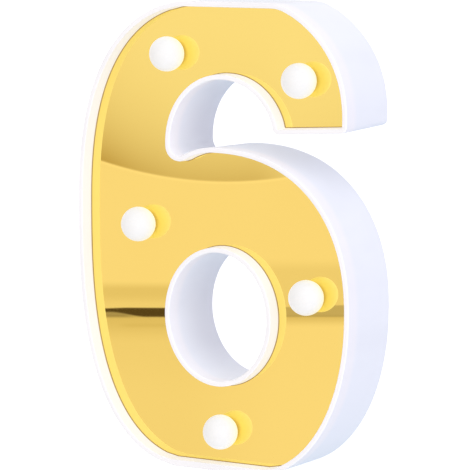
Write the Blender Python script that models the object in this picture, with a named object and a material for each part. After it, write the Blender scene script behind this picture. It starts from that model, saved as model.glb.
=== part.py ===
"""Light-up marquee number: a digit six, moulded as a deep tray with a mirror face and globe bulbs.

The digit stands on its flat foot and faces -Y, with +X to the right of someone who reads it and +Z up.
The origin is the middle of its bounding box, on the surface that it stands on. Lengths are in metres.
"""

import math

import bmesh
import bpy
from mathutils import Matrix, Vector

MM = 0.001

# Overall size of the digit, without its bulbs
HEIGHT = 220 * MM
WIDTH = 148.4 * MM
DEPTH = 41.2 * MM

# Moulded housing
RIM_WIDTH = 2.3 * MM
RIM_DRAFT = 0.1 * MM
RECESS = 7.5 * MM
EDGE_ROUND = 0.4 * MM
BACK_ROUND = 1.2 * MM
BODY_DRAFT = 0.9 * MM
TERMINAL_ROUND = 2.2 * MM
FLAT_ROUND = 20 * MM
WALL = 2.6 * MM
REBATE_WALL = 1.6 * MM
WEB = 2.0 * MM
BOSS_RADIUS = 3.2 * MM
PILOT_DEPTH = 9.0 * MM
HOLE_WIDTH = 53.4 * MM
HOLE_HEIGHT = 60.8 * MM

# Clearances
GAP = 0.3 * MM
OVERRUN = 1.0 * MM
MERGE_DISTANCE = 0.001 * MM

# Mirror face
FACE_THICKNESS = 1.0 * MM

# Globe bulbs and what holds them
GLOBE_RADIUS = 8.2 * MM
GLOBE_LIFT = 6.7 * MM
GLOBE_WALL = 1.2 * MM
NECK_RADIUS = 4.9 * MM
NECK_CLEARANCE = 0.35 * MM
HOLDER_FLANGE_RADIUS = 6.5 * MM
HOLDER_FLANGE = 1.2 * MM
HOLDER_PLUG = 4.0 * MM
LED_RADIUS = 2.5 * MM
LED_FLANGE_RADIUS = 3.1 * MM
LED_FLANGE = 1.0 * MM
LED_LENGTH = 8.6 * MM
LEAD_WIDTH = 0.5 * MM
LEAD_LENGTH = 4.0 * MM
LEAD_SPREAD = 2.54 * MM

# Back cover
COVER_THICKNESS = 2.0 * MM
CUP_RADIUS = 4.3 * MM
CUP_HEIGHT = 2.0 * MM
KEYHOLE_RADIUS = 4.0 * MM
KEYHOLE_SLOT_RADIUS = 2.1 * MM
KEYHOLE_RISE = 9.0 * MM

# Cover screws
SCREW_HEAD_RADIUS = 2.6 * MM
SCREW_HEAD = 1.5 * MM
SCREW_RADIUS = 1.3 * MM
SCREW_LENGTH = 9.0 * MM
SCREW_TIP = 1.5 * MM
SCREW_EDGE = 0.5 * MM
DRIVE_WIDTH = 0.8 * MM
DRIVE_LENGTH = 3.0 * MM
DRIVE_DEPTH = 0.7 * MM

# Battery bay: two AA cells side by side, upright in the stem
CELL_RADIUS = 7.25 * MM
CELL_LENGTH = 50.5 * MM
CELL_NUB_RADIUS = 2.75 * MM
CELL_NUB = 1.2 * MM
CELL_EDGE = 0.6 * MM
CELL_SPACING = 15.5 * MM
BAY_SIDE_ROOM = 1.0 * MM
SPRING_ROOM = 5.0 * MM
BAY_WALL = 1.8 * MM
BAY_FLOOR_THICKNESS = 1.6 * MM
DOOR_LEDGE = 1.0 * MM
CONTACT_THICKNESS = 0.5 * MM
CONTACT_HEIGHT = 10.0 * MM
CONTACT_WIDTH = 10.0 * MM
SPRING_WIRE = 0.7 * MM
SPRING_BASE_RADIUS = 3.9 * MM
SPRING_TOP_RADIUS = 2.4 * MM
SPRING_TURNS = 3.5
SPRING_POINTS_PER_TURN = 10

# Battery door
TAB_WIDTH = 3.2 * MM
TAB_REACH = 2.3 * MM
TAB_THICKNESS = 1.2 * MM
TONGUE_WIDTH = 11.0 * MM
TONGUE_LENGTH = 9.0 * MM
TONGUE_SLIT = 0.9 * MM
GRIP_WIDTH = 7.0 * MM
GRIP_HEIGHT = 0.8 * MM
GRIP_DEPTH = 0.5 * MM
GRIP_PITCH = 1.9 * MM
GRIP_COUNT = 3

# Slide switch
SWITCH_WIDTH = 13.0 * MM
SWITCH_HEIGHT = 7.0 * MM
SWITCH_DEPTH = 5.5 * MM
SWITCH_SHELL = 1.2 * MM
SWITCH_TRAVEL = 3.0 * MM
KNOB_FOOT_WIDTH = 5.0 * MM
KNOB_FOOT_HEIGHT = 3.4 * MM
KNOB_FOOT = 1.4 * MM
KNOB_STEM_WIDTH = 3.0 * MM
KNOB_STEM_HEIGHT = 2.4 * MM
KNOB_SUNK = 0.3 * MM
PIN_WIDTH = 0.8 * MM
PIN_LENGTH = 2.0 * MM
PIN_SPACING = 3.0 * MM
RAIL_THICKNESS = 1.2 * MM
RAIL_DEPTH = 4.0 * MM
THUMB_WIDTH = 15.0 * MM
THUMB_HEIGHT = 8.0 * MM
THUMB_DEPTH = 1.0 * MM

# Wiring
WIRE_RADIUS = 0.8 * MM
FEED_RADIUS = 0.6 * MM
RESISTOR_RADIUS = 1.2 * MM
RESISTOR_LENGTH = 6.5 * MM
RESISTOR_LEAD_RADIUS = 0.35 * MM
RESISTOR_LEAD = 3.5 * MM
RESISTOR_EDGE = 0.5 * MM
ROUTE_STEPS = 3

# Faces per turn of the round pieces
GLOBE_SIDES = 18
GLOBE_RINGS = 8
HOLE_SIDES = 16
SMALL_SIDES = 12
HOLE_STEPS = 36
SMOOTH_LIMIT = math.radians(35)

# The six's outline. Each run is a quarter of a superellipse: its name, its centre, how far it reaches
# sideways and up or down, and its power. Places are (x, z), x in shares of WIDTH from the middle and
# z in shares of HEIGHT from the foot.
RUN_SHARES = {
    "foot right": ((0.136, 0.355), (0.5, -0.002), 2.1),
    "bowl right": ((0.011, 0.355), (0.5, 0.693), 2.28),
    "bowl left": ((0.011, 0.355), (-0.326, 0.693), 2.0),
    "notch foot": ((-0.1146, 0.6955), (-0.1516, 0.6705), 2.2),
    "notch left": ((0.0384, 0.7), (-0.1516, 0.8373), 2.0),
    "notch right": ((0.0384, 0.7), (0.2358, 0.8373), 2.05),
    "hook low": ((0.006, 0.7636), (0.4906, 0.4977), 2.18),
    "hook": ((0.006, 0.7636), (0.4906, 1.0295), 2.18),
    "shoulder": ((-0.002, 0.5455), (-0.5, 1.0055), 2.48),
    "foot left": ((-0.0296, 0.5455), (-0.5, -0.0045), 2.62),
}
TERMINAL_LEFT_SHARE = 0.727
TERMINAL_RIGHT_SHARE = 0.7364
HOLE_CENTRE_SHARES = (0.0256, 0.3318)

# Places on the face, as (x, z) shares like those above
GLOBE_SHARES = ((-0.163, 0.8874), (0.319, 0.8413), (-0.2726, 0.5191), (0.3469, 0.3893), (0.0348, 0.0849))
SCREW_SHARES = (
    (-0.337, 0.791), (0.162, 0.923), (0.384, 0.775), (0.0, 0.55),
    (0.384, 0.509), (0.371, 0.15), (-0.364, 0.227), (-0.135, 0.073),
)
BAY_SHARES = (-0.322, 0.518)
SWITCH_SHARES = (-0.318, 0.29)
KEYHOLE_SHARES = (-0.03, 0.895)

# Twin link wires between the lamps: the two lamps, the side of each where it ends, and the way between
LINK_ROUTES = (
    (1, 1, 2, -1, ((0.03, 0.885), (0.19, 0.865))),
    (1, -1, 3, -1, ((-0.25, 0.8), (-0.29, 0.66))),
    (3, 1, 4, -1, ((-0.12, 0.575), (0.06, 0.6), (0.23, 0.53), (0.31, 0.45))),
    (4, 1, 5, 1, ((0.37, 0.29), (0.31, 0.19), (0.2, 0.12))),
)

# Depths, counted from the rim's front edge towards the back
GLOBE_DEPTH = RECESS - GLOBE_LIFT
GLOBE_PROUD = GLOBE_RADIUS - GLOBE_DEPTH
WEB_FRONT = RECESS + FACE_THICKNESS + GAP
WEB_BACK = WEB_FRONT + WEB
COVER_FRONT = DEPTH - COVER_THICKNESS
LEDGE = COVER_FRONT - GAP
BOSS_TOP = COVER_FRONT - CUP_HEIGHT - GAP
FRONT_Y = GLOBE_PROUD - (DEPTH + GLOBE_PROUD) / 2

# Battery bay sizes that follow from the cells
BAY_WIDTH = CELL_SPACING + 2 * CELL_RADIUS + BAY_SIDE_ROOM
BAY_HEIGHT = CELL_LENGTH + SPRING_ROOM + 2 * CONTACT_THICKNESS + 4 * GAP
CELL_DEPTH = LEDGE - GAP - CELL_RADIUS
BAY_FLOOR = CELL_DEPTH - CELL_RADIUS - GAP
BAY_FRONT = BAY_FLOOR - BAY_FLOOR_THICKNESS
DOOR_WIDTH = BAY_WIDTH + 2 * DOOR_LEDGE - 2 * GAP
DOOR_HEIGHT = BAY_HEIGHT + 2 * DOOR_LEDGE - 2 * GAP
TAB_SPACING = BAY_WIDTH - TAB_WIDTH - 4 * GAP


def y_at(depth):
    """The Y of a depth behind the rim's front edge."""
    return FRONT_Y + depth


def place(shares):
    """A place on the face, (x, z), from its shares."""
    return WIDTH * shares[0], HEIGHT * shares[1]


BAY_X, BAY_Z = place(BAY_SHARES)
BAY_BOTTOM = BAY_Z - BAY_HEIGHT / 2
BAY_TOP = BAY_Z + BAY_HEIGHT / 2
DOOR_BOTTOM = BAY_BOTTOM - DOOR_LEDGE + GAP
SWITCH_X, SWITCH_Z = place(SWITCH_SHARES)


# Outline of the digit


def superellipse_run(run, start, end, steps):
    """Points along one quarter, from share start to share end of the way from its side to its crown."""
    (centre_x, centre_z), (side, crown), power = RUN_SHARES[run]
    points = []
    for step in range(steps + 1):
        turn = (start + (end - start) * step / steps) * math.pi / 2
        across = max(math.cos(turn), 0) ** (2 / power)
        up = max(math.sin(turn), 0) ** (2 / power)
        points.append(Vector((
            WIDTH * (centre_x + (side - centre_x) * across),
            HEIGHT * (centre_z + (crown - centre_z) * up),
        )))
    return points


def share_at_height(run, level):
    """How far along its quarter a run reaches a level, given as a share of HEIGHT."""
    (_, centre_z), (_, crown), power = RUN_SHARES[run]
    rise = (level - centre_z) / (crown - centre_z)
    return 2 / math.pi * math.asin(min(rise, 1) ** (power / 2))


def digit_outline():
    """The housing's outline at the front, anticlockwise, and the terminal's two corners, left sharp."""
    floor = 0
    top = 1
    notch_end = share_at_height("notch right", TERMINAL_LEFT_SHARE)
    hook_start = share_at_height("hook low", TERMINAL_RIGHT_SHARE)
    runs = [
        superellipse_run("foot right", share_at_height("foot right", floor), 0, 9),
        superellipse_run("bowl right", 0, 1, 14)[1:],
        superellipse_run("bowl left", 1, 0.78, 3)[1:],
        superellipse_run("notch foot", 1, 0, 3),
        superellipse_run("notch left", 0, 1, 6),
        superellipse_run("notch right", 1, notch_end, 6)[1:],
        superellipse_run("hook low", hook_start, 0, 1),
        superellipse_run("hook", 0, share_at_height("hook", top), 8)[1:],
        superellipse_run("shoulder", share_at_height("shoulder", top), 0, 12),
        superellipse_run("foot left", 0, share_at_height("foot left", floor), 12)[1:],
    ]
    points = [point for run in runs for point in run]
    terminal = runs[5][-1], runs[6][0]
    kinks = runs[0][0], runs[7][-1], runs[8][0], runs[9][-1]
    points = fillet(points, [points.index(kink) for kink in kinks], FLAT_ROUND, 2)
    return points, [points.index(corner) for corner in terminal]


def hole_outline():
    """The round hole's outline at the front, anticlockwise."""
    centre_x, centre_z = place(HOLE_CENTRE_SHARES)
    points = []
    for step in range(HOLE_STEPS):
        turn = 2 * math.pi * step / HOLE_STEPS
        points.append(Vector((
            centre_x + HOLE_WIDTH / 2 * math.cos(turn),
            centre_z + HOLE_HEIGHT / 2 * math.sin(turn),
        )))
    return points


def inset(points, distance):
    """The closed outline moved sideways to its left, mitred at its corners."""
    shifted = []
    for before, here, after in zip(points[-1:] + points[:-1], points, points[1:] + points[:1]):
        first = (here - before).normalized()
        second = (after - here).normalized()
        first_normal = Vector((-first.y, first.x))
        second_normal = Vector((-second.y, second.x))
        mitre = (first_normal + second_normal) / (1 + first_normal.dot(second_normal))
        shifted.append(here + distance * mitre)
    return shifted


def fillet(points, corners, radius, steps=4):
    """The outline with each named corner turned into an arc."""
    rounded = []
    for index, here in enumerate(points):
        if index not in corners:
            rounded.append(here)
            continue
        back = (points[index - 1] - here).normalized()
        ahead = (points[(index + 1) % len(points)] - here).normalized()
        half = back.angle(ahead) / 2
        reach = radius / math.tan(half)
        centre = here + (back + ahead).normalized() * radius / math.sin(half)
        start = here + back * reach - centre
        sweep = start.angle_signed(here + ahead * reach - centre)
        for step in range(steps + 1):
            spoke = start.copy()
            spoke.rotate(Matrix.Rotation(-sweep * step / steps, 2))
            rounded.append(centre + spoke)
    return rounded


def draft_at(depth):
    """How far the drafted walls have drawn in at a depth."""
    return BODY_DRAFT * min(max(depth / DEPTH, 0), 1)


def keep_height(points, drawn):
    """The foot and the top stay flat and level, so a drafted outline keeps its height."""
    stretch = HEIGHT / (HEIGHT - 2 * drawn)
    return [Vector((point.x, HEIGHT / 2 + (point.y - HEIGHT / 2) * stretch)) for point in points]


def section(depth, distance, rounding=None):
    """The outer and the hole outline at a depth, moved into the material by a distance."""
    drawn = draft_at(depth)
    outer, corners = digit_outline()
    outer = keep_height(inset(outer, drawn), drawn)
    outer = inset(outer, distance)
    if rounding is not None:
        outer = fillet(outer, corners, rounding)
    hole = keep_height(inset(hole_outline(), -drawn), drawn)
    return outer, inset(hole, -distance)


# Meshes and objects


def loft(bm, loops):
    """Skins a stack of equal loops, extruding each from the one before, and returns its two end rims."""
    verts = [bm.verts.new(point) for point in loops[0]]
    edges = [bm.edges.new((verts[i - 1], verts[i])) for i in range(len(verts))]
    first = list(edges)
    for loop in loops[1:]:
        made = bmesh.ops.extrude_edge_only(bm, edges=edges)["geom"]
        fresh = {item for item in made if isinstance(item, bmesh.types.BMVert)}
        following = []
        for vert, point in zip(verts, loop):
            copy = next(e.other_vert(vert) for e in vert.link_edges if e.other_vert(vert) in fresh)
            copy.co = point
            following.append(copy)
        verts = following
        edges = [bm.edges.get((verts[i - 1], verts[i])) for i in range(len(verts))]
    return first, edges


def ring_solid(stations):
    """A solid between the digit's outline and its hole, through stations of (depth, distance, rounding)."""
    bm = bmesh.new()
    outer_loops = []
    hole_loops = []
    for depth, distance, rounding in stations:
        outer, hole = section(depth, distance, rounding)
        outer_loops.append([Vector((p.x, y_at(depth), p.y)) for p in outer])
        hole_loops.append([Vector((p.x, y_at(depth), p.y)) for p in hole])
    outer_front, outer_back = loft(bm, outer_loops)
    hole_front, hole_back = loft(bm, hole_loops)
    bmesh.ops.triangle_fill(bm, edges=outer_front + hole_front, use_beauty=True)
    bmesh.ops.triangle_fill(bm, edges=outer_back + hole_back, use_beauty=True)
    return bm


def turned(profile, sides):
    """A solid turned round the Y axis from (radius, y) points. A profile off the axis is closed on itself."""
    bm = bmesh.new()
    verts = [bm.verts.new((radius, y, 0)) for radius, y in profile]
    edges = [bm.edges.new(pair) for pair in zip(verts[:-1], verts[1:])]
    if min(profile[0][0], profile[-1][0]) > 0:
        edges.append(bm.edges.new((verts[-1], verts[0])))
    bmesh.ops.spin(
        bm, geom=verts + edges, cent=(0, 0, 0), axis=(0, 1, 0), dvec=(0, 0, 0),
        angle=2 * math.pi, steps=sides, use_merge=True, use_duplicate=False,
    )
    bmesh.ops.remove_doubles(bm, verts=bm.verts, dist=MERGE_DISTANCE)
    return bm


def box(low, high):
    """A box between two corners."""
    bm = bmesh.new()
    size = [b - a for a, b in zip(low, high)]
    middle = [(a + b) / 2 for a, b in zip(low, high)]
    bmesh.ops.create_cube(bm, size=1)
    bmesh.ops.scale(bm, vec=size, verts=bm.verts)
    bmesh.ops.translate(bm, vec=middle, verts=bm.verts)
    return bm


def rod(radius, start, end, sides=SMALL_SIDES):
    """A cylinder along Y between two depths, round the origin's X and Z."""
    return turned([(0, y_at(start)), (radius, y_at(start)), (radius, y_at(end)), (0, y_at(end))], sides)


def moved(bm, x=0, y=0, z=0):
    """The mesh, moved."""
    bmesh.ops.translate(bm, vec=(x, y, z), verts=bm.verts)
    return bm


def merged(pieces):
    """Several meshes that don't touch, as one."""
    whole = bmesh.new()
    for piece in pieces:
        mesh = bpy.data.meshes.new("piece")
        piece.to_mesh(mesh)
        piece.free()
        whole.from_mesh(mesh)
        bpy.data.meshes.remove(mesh)
    return whole


def finish(name, colour, roughness, metallic=0.0):
    """A Principled material."""
    material = bpy.data.materials.new(name)
    material.use_nodes = True
    shader = material.node_tree.nodes["Principled BSDF"]
    shader.inputs["Base Color"].default_value = (*colour, 1)
    shader.inputs["Roughness"].default_value = roughness
    shader.inputs["Metallic"].default_value = metallic
    material.diffuse_color = (*colour, 1)
    return material


def add_object(name, bm, material=None, origin=(0, 0, 0), parent=None):
    """Links a mesh as an object. Its mesh is given in the part's frame and its origin goes where asked."""
    bmesh.ops.recalc_face_normals(bm, faces=bm.faces)
    bmesh.ops.translate(bm, vec=-Vector(origin), verts=bm.verts)
    mesh = bpy.data.meshes.new(name)
    bm.to_mesh(mesh)
    bm.free()
    mesh.shade_smooth()
    mesh.set_sharp_from_angle(angle=SMOOTH_LIMIT)
    if material:
        mesh.materials.append(material)
    obj = bpy.data.objects.new(name, mesh)
    bpy.context.scene.collection.objects.link(obj)
    obj.location = origin
    if parent:
        obj.parent = parent
        obj.location = Vector(origin) - parent.location
    return obj


def shape(obj, operation, bm, label):
    """Adds a live Boolean with a helper that isn't rendered."""
    helper = add_object(obj.name + "_" + label, bm)
    helper.hide_render = True
    helper.display_type = "WIRE"
    modifier = obj.modifiers.new(label, "BOOLEAN")
    modifier.operation = operation
    modifier.solver = "EXACT"
    modifier.object = helper
    return helper


def cut(obj, bm, label):
    """Takes a shape out of an object."""
    return shape(obj, "DIFFERENCE", bm, label)


def join(obj, bm, label):
    """Fuses a shape to an object."""
    return shape(obj, "UNION", bm, label)


def tube(name, route, radius, material, resolution=2):
    """A round wire along a list of points."""
    curve = bpy.data.curves.new(name, "CURVE")
    curve.dimensions = "3D"
    curve.bevel_depth = radius
    curve.bevel_resolution = resolution
    curve.use_fill_caps = True
    spline = curve.splines.new("POLY")
    spline.points.add(len(route) - 1)
    for point, place_of_point in zip(spline.points, route):
        point.co = (*place_of_point, 1)
    curve.materials.append(material)
    obj = bpy.data.objects.new(name, curve)
    bpy.context.scene.collection.objects.link(obj)
    return obj


def smooth_route(stops, per_stretch=4):
    """Points read from a smooth curve through the stops."""
    stops = [Vector(stop) for stop in stops]
    padded = [2 * stops[0] - stops[1]] + stops + [2 * stops[-1] - stops[-2]]
    points = [stops[0]]
    for a, b, c, d in zip(padded, padded[1:], padded[2:], padded[3:]):
        for step in range(1, per_stretch + 1):
            t = step / per_stretch
            points.append((
                2 * b + (c - a) * t + (2 * a - 5 * b + 4 * c - d) * t * t
                + (3 * b - a - 3 * c + d) * t ** 3
            ) / 2)
    return points


# The pieces


def build_housing(material):
    """The moulded tray: drafted walls, rim, recessed web, cover ledge, screw bosses and bulb holes."""
    body = ring_solid([
        (0, EDGE_ROUND, TERMINAL_ROUND - EDGE_ROUND),
        (EDGE_ROUND, 0, TERMINAL_ROUND),
        (DEPTH - BACK_ROUND, 0, TERMINAL_ROUND),
        (DEPTH - BACK_ROUND * (1 - math.sin(math.pi / 4)), BACK_ROUND * (1 - math.cos(math.pi / 4)),
         TERMINAL_ROUND - BACK_ROUND * (1 - math.cos(math.pi / 4))),
        (DEPTH, BACK_ROUND, TERMINAL_ROUND - BACK_ROUND),
    ])
    housing = add_object("housing", body, material)
    cut(housing, ring_solid([
        (-OVERRUN, RIM_WIDTH - RIM_DRAFT * OVERRUN / WEB_FRONT, None),
        (WEB_FRONT, RIM_WIDTH + RIM_DRAFT, None),
    ]), "recess")
    cavity = cut(housing, ring_solid([
        (WEB_BACK, WALL, None),
        (LEDGE, WALL, None),
        (LEDGE, REBATE_WALL, None),
        (DEPTH + OVERRUN, REBATE_WALL, None),
    ]), "cavity")
    bosses = [moved(rod(BOSS_RADIUS, WEB_BACK - OVERRUN, BOSS_TOP), x, 0, z)
              for x, z in map(place, SCREW_SHARES)]
    cut(cavity, merged(bosses), "bosses")
    pilots = [moved(rod(SCREW_RADIUS + GAP, BOSS_TOP - PILOT_DEPTH, BOSS_TOP + OVERRUN), x, 0, z)
              for x, z in map(place, SCREW_SHARES)]
    necks = [moved(rod(NECK_RADIUS + NECK_CLEARANCE, RECESS, WEB_BACK + OVERRUN, HOLE_SIDES), x, 0, z)
             for x, z in map(place, GLOBE_SHARES)]
    cut(housing, merged(pilots + necks), "drilling")
    return housing


def build_face_plate(material):
    """The mirror sheet in the recess, with a hole for each neck."""
    distance = RIM_WIDTH + RIM_DRAFT + GAP
    plate = add_object("face_plate", ring_solid([
        (RECESS, distance, None), (RECESS + FACE_THICKNESS, distance, None),
    ]), material)
    necks = [moved(rod(NECK_RADIUS + NECK_CLEARANCE, RECESS - OVERRUN, WEB_FRONT, HOLE_SIDES), x, 0, z)
             for x, z in map(place, GLOBE_SHARES)]
    cut(plate, merged(necks), "necks")
    return plate


def arc(radius, centre, start, end, steps):
    """(radius, y) points of a ball's profile between two angles from its front."""
    turns = [math.radians(start + (end - start) * step / steps) for step in range(steps + 1)]
    return [(radius * math.sin(turn), centre - radius * math.cos(turn)) for turn in turns]


def build_globe(number, shares, material):
    """A hollow ball with a neck that ends flush with the back of the web."""
    x, z = place(shares)
    middle = y_at(GLOBE_DEPTH)
    end = y_at(WEB_BACK)
    inner_radius = GLOBE_RADIUS - GLOBE_WALL
    bore = NECK_RADIUS - GLOBE_WALL
    outer_angle = 180 - math.degrees(math.asin(NECK_RADIUS / GLOBE_RADIUS))
    inner_angle = 180 - math.degrees(math.asin(bore / inner_radius))
    outside = arc(GLOBE_RADIUS, middle, 0, outer_angle, GLOBE_RINGS)
    inside = arc(inner_radius, middle, 0, inner_angle, GLOBE_RINGS // 2)
    profile = outside + [(NECK_RADIUS, end), (bore, end)] + inside[::-1]
    ball = moved(turned(profile, GLOBE_SIDES), x, 0, z)
    return add_object(f"globe_{number}", ball, material, (x, middle, z))


def build_led_holder(number, shares, material):
    """A flanged bush: its plug stands in the neck and its flange lies behind the web."""
    x, z = place(shares)
    front = y_at(WEB_BACK + GAP)
    plug = NECK_RADIUS - GLOBE_WALL - GAP
    bore = LED_RADIUS + GAP
    back = front + HOLDER_FLANGE
    profile = [
        (bore, front - HOLDER_PLUG), (plug, front - HOLDER_PLUG), (plug, front),
        (HOLDER_FLANGE_RADIUS, front), (HOLDER_FLANGE_RADIUS, back), (bore, back),
    ]
    bush = moved(turned(profile, SMALL_SIDES), x, 0, z)
    return add_object(f"led_holder_{number}", bush, material, (x, front, z))


def led_back():
    """The depth of the back of a lamp's flange."""
    return WEB_BACK + GAP + HOLDER_FLANGE + GAP + LED_FLANGE


def build_led(number, shares, material):
    """A round-nosed lamp with a flange and two leads."""
    x, z = place(shares)
    back = y_at(led_back())
    nose = back - LED_FLANGE - LED_LENGTH + LED_RADIUS
    dome = arc(LED_RADIUS, nose, 0, 90, 3)
    profile = dome + [
        (LED_RADIUS, back - LED_FLANGE), (LED_FLANGE_RADIUS, back - LED_FLANGE),
        (LED_FLANGE_RADIUS, back), (0, back),
    ]
    led = add_object(f"led_{number}", moved(turned(profile, SMALL_SIDES), x, 0, z), material, (x, back, z))
    half = LEAD_WIDTH / 2
    leads = [
        box((x + side * LEAD_SPREAD / 2 - half, back - LED_FLANGE / 2, z - half),
            (x + side * LEAD_SPREAD / 2 + half, back + LEAD_LENGTH, z + half))
        for side in (-1, 1)
    ]
    join(led, merged(leads), "leads")
    return led


def keyhole_prism(x, z, start, end):
    """The hanging hole: a round entry with a narrower slot above it, between two depths."""
    mouth = math.asin(KEYHOLE_SLOT_RADIUS / KEYHOLE_RADIUS)
    sides = 14
    points = []
    for step in range(sides + 1):
        turn = math.pi / 2 + mouth + (2 * math.pi - 2 * mouth) * step / sides
        points.append((x + KEYHOLE_RADIUS * math.cos(turn), z + KEYHOLE_RADIUS * math.sin(turn)))
    for step in range(sides // 2 + 1):
        turn = math.pi * step / (sides // 2)
        points.append((x + KEYHOLE_SLOT_RADIUS * math.cos(turn),
                       z + KEYHOLE_RISE + KEYHOLE_SLOT_RADIUS * math.sin(turn)))
    bm = bmesh.new()
    front, back = loft(bm, [[Vector((px, y_at(depth), pz)) for px, pz in points] for depth in (start, end)])
    bmesh.ops.contextual_create(bm, geom=front)
    bmesh.ops.contextual_create(bm, geom=back)
    return bm


def centred_box(x, z, width, height, start, end):
    """A box centred on a place, between two depths."""
    return box((x - width / 2, y_at(start), z - height / 2), (x + width / 2, y_at(end), z + height / 2))


def build_back_cover(material):
    """The flat back: battery well, door opening, switch slot and rails, keyhole and screw cups."""
    edge = REBATE_WALL + GAP
    cover = add_object("back_cover", ring_solid([(COVER_FRONT, edge, None), (DEPTH, edge, None)]), material)
    well = centred_box(
        BAY_X, BAY_Z, BAY_WIDTH + 2 * BAY_WALL, BAY_HEIGHT + 2 * BAY_WALL,
        BAY_FRONT, COVER_FRONT + COVER_THICKNESS / 2,
    )
    join(cover, well, "well")
    cups = [moved(rod(CUP_RADIUS, COVER_FRONT - CUP_HEIGHT, COVER_FRONT + COVER_THICKNESS / 2), x, 0, z)
            for x, z in map(place, SCREW_SHARES)]
    rails = [
        centred_box(SWITCH_X, SWITCH_Z + side * (SWITCH_HEIGHT / 2 + GAP + RAIL_THICKNESS / 2),
                    SWITCH_WIDTH, RAIL_THICKNESS, COVER_FRONT - RAIL_DEPTH, COVER_FRONT + COVER_THICKNESS / 2)
        for side in (-1, 1)
    ]
    join(cover, merged(cups + rails), "cups_and_rails")
    bay = centred_box(BAY_X, BAY_Z, BAY_WIDTH, BAY_HEIGHT, BAY_FLOOR, DEPTH + OVERRUN)
    cut(cover, bay, "bay")
    opening = centred_box(
        BAY_X, BAY_Z, DOOR_WIDTH + 2 * GAP, DOOR_HEIGHT + 2 * GAP, LEDGE, DEPTH + OVERRUN + GAP,
    )
    cut(cover, opening, "door_opening")
    tab_sweep = math.hypot(COVER_THICKNESS + GAP + TAB_THICKNESS, TAB_REACH) + GAP
    pockets = [
        box((BAY_X + side * TAB_SPACING / 2 - TAB_WIDTH / 2 - GAP, y_at(DEPTH - tab_sweep),
             BAY_BOTTOM - BAY_WALL - OVERRUN),
            (BAY_X + side * TAB_SPACING / 2 + TAB_WIDTH / 2 + GAP, y_at(COVER_FRONT), BAY_BOTTOM + OVERRUN))
        for side in (-1, 1)
    ]
    wire_ways = [
        centred_box(BAY_X + side * CELL_SPACING / 2, BAY_TOP + BAY_WALL / 2, 4 * WIRE_RADIUS,
                    BAY_WALL + 2 * OVERRUN, BAY_FLOOR, BAY_FLOOR + 4 * WIRE_RADIUS)
        for side in (-1, 1)
    ]
    cut(cover, merged(pockets + wire_ways), "pockets")
    slot = centred_box(
        SWITCH_X, SWITCH_Z, KNOB_STEM_WIDTH + SWITCH_TRAVEL + 2 * GAP, KNOB_STEM_HEIGHT + 2 * GAP,
        COVER_FRONT - OVERRUN, DEPTH + OVERRUN,
    )
    cut(cover, slot, "switch_slot")
    thumb = centred_box(SWITCH_X, SWITCH_Z, THUMB_WIDTH, THUMB_HEIGHT, DEPTH - THUMB_DEPTH, DEPTH + OVERRUN)
    cut(cover, thumb, "thumb_recess")
    head = SCREW_HEAD_RADIUS + GAP
    seat = DEPTH - GAP - SCREW_HEAD - GAP
    sinks = [moved(turned([
        (0, y_at(DEPTH + OVERRUN)), (head, y_at(DEPTH + OVERRUN)), (head, y_at(seat)),
        (SCREW_RADIUS + GAP, y_at(seat)), (SCREW_RADIUS + GAP, y_at(BOSS_TOP)), (0, y_at(BOSS_TOP)),
    ], SMALL_SIDES), x, 0, z) for x, z in map(place, SCREW_SHARES)]
    keyhole_x, keyhole_z = place(KEYHOLE_SHARES)
    keyhole = keyhole_prism(keyhole_x, keyhole_z, COVER_FRONT - OVERRUN, DEPTH + OVERRUN)
    cut(cover, merged(sinks + [keyhole]), "screw_holes_and_keyhole")
    return cover


def build_screw(number, shares, material):
    """A pan-head self-tapping screw, sunk in its cup, with a cross recess."""
    x, z = place(shares)
    back = y_at(DEPTH - GAP)
    seat = back - SCREW_HEAD
    tip = seat - SCREW_LENGTH
    profile = [
        (0, tip), (SCREW_RADIUS, tip + SCREW_TIP), (SCREW_RADIUS, seat), (SCREW_HEAD_RADIUS, seat),
        (SCREW_HEAD_RADIUS, back - SCREW_EDGE), (SCREW_HEAD_RADIUS - SCREW_EDGE, back), (0, back),
    ]
    screw = add_object(
        f"cover_screw_{number}", moved(turned(profile, SMALL_SIDES), x, 0, z), material, (x, back, z))
    for label, width, height in (
        ("drive_across", DRIVE_LENGTH, DRIVE_WIDTH), ("drive_upright", DRIVE_WIDTH, DRIVE_LENGTH),
    ):
        slot = box((x - width / 2, back - DRIVE_DEPTH, z - height / 2),
                   (x + width / 2, back + OVERRUN, z + height / 2))
        cut(screw, slot, label)
    return screw


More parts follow.
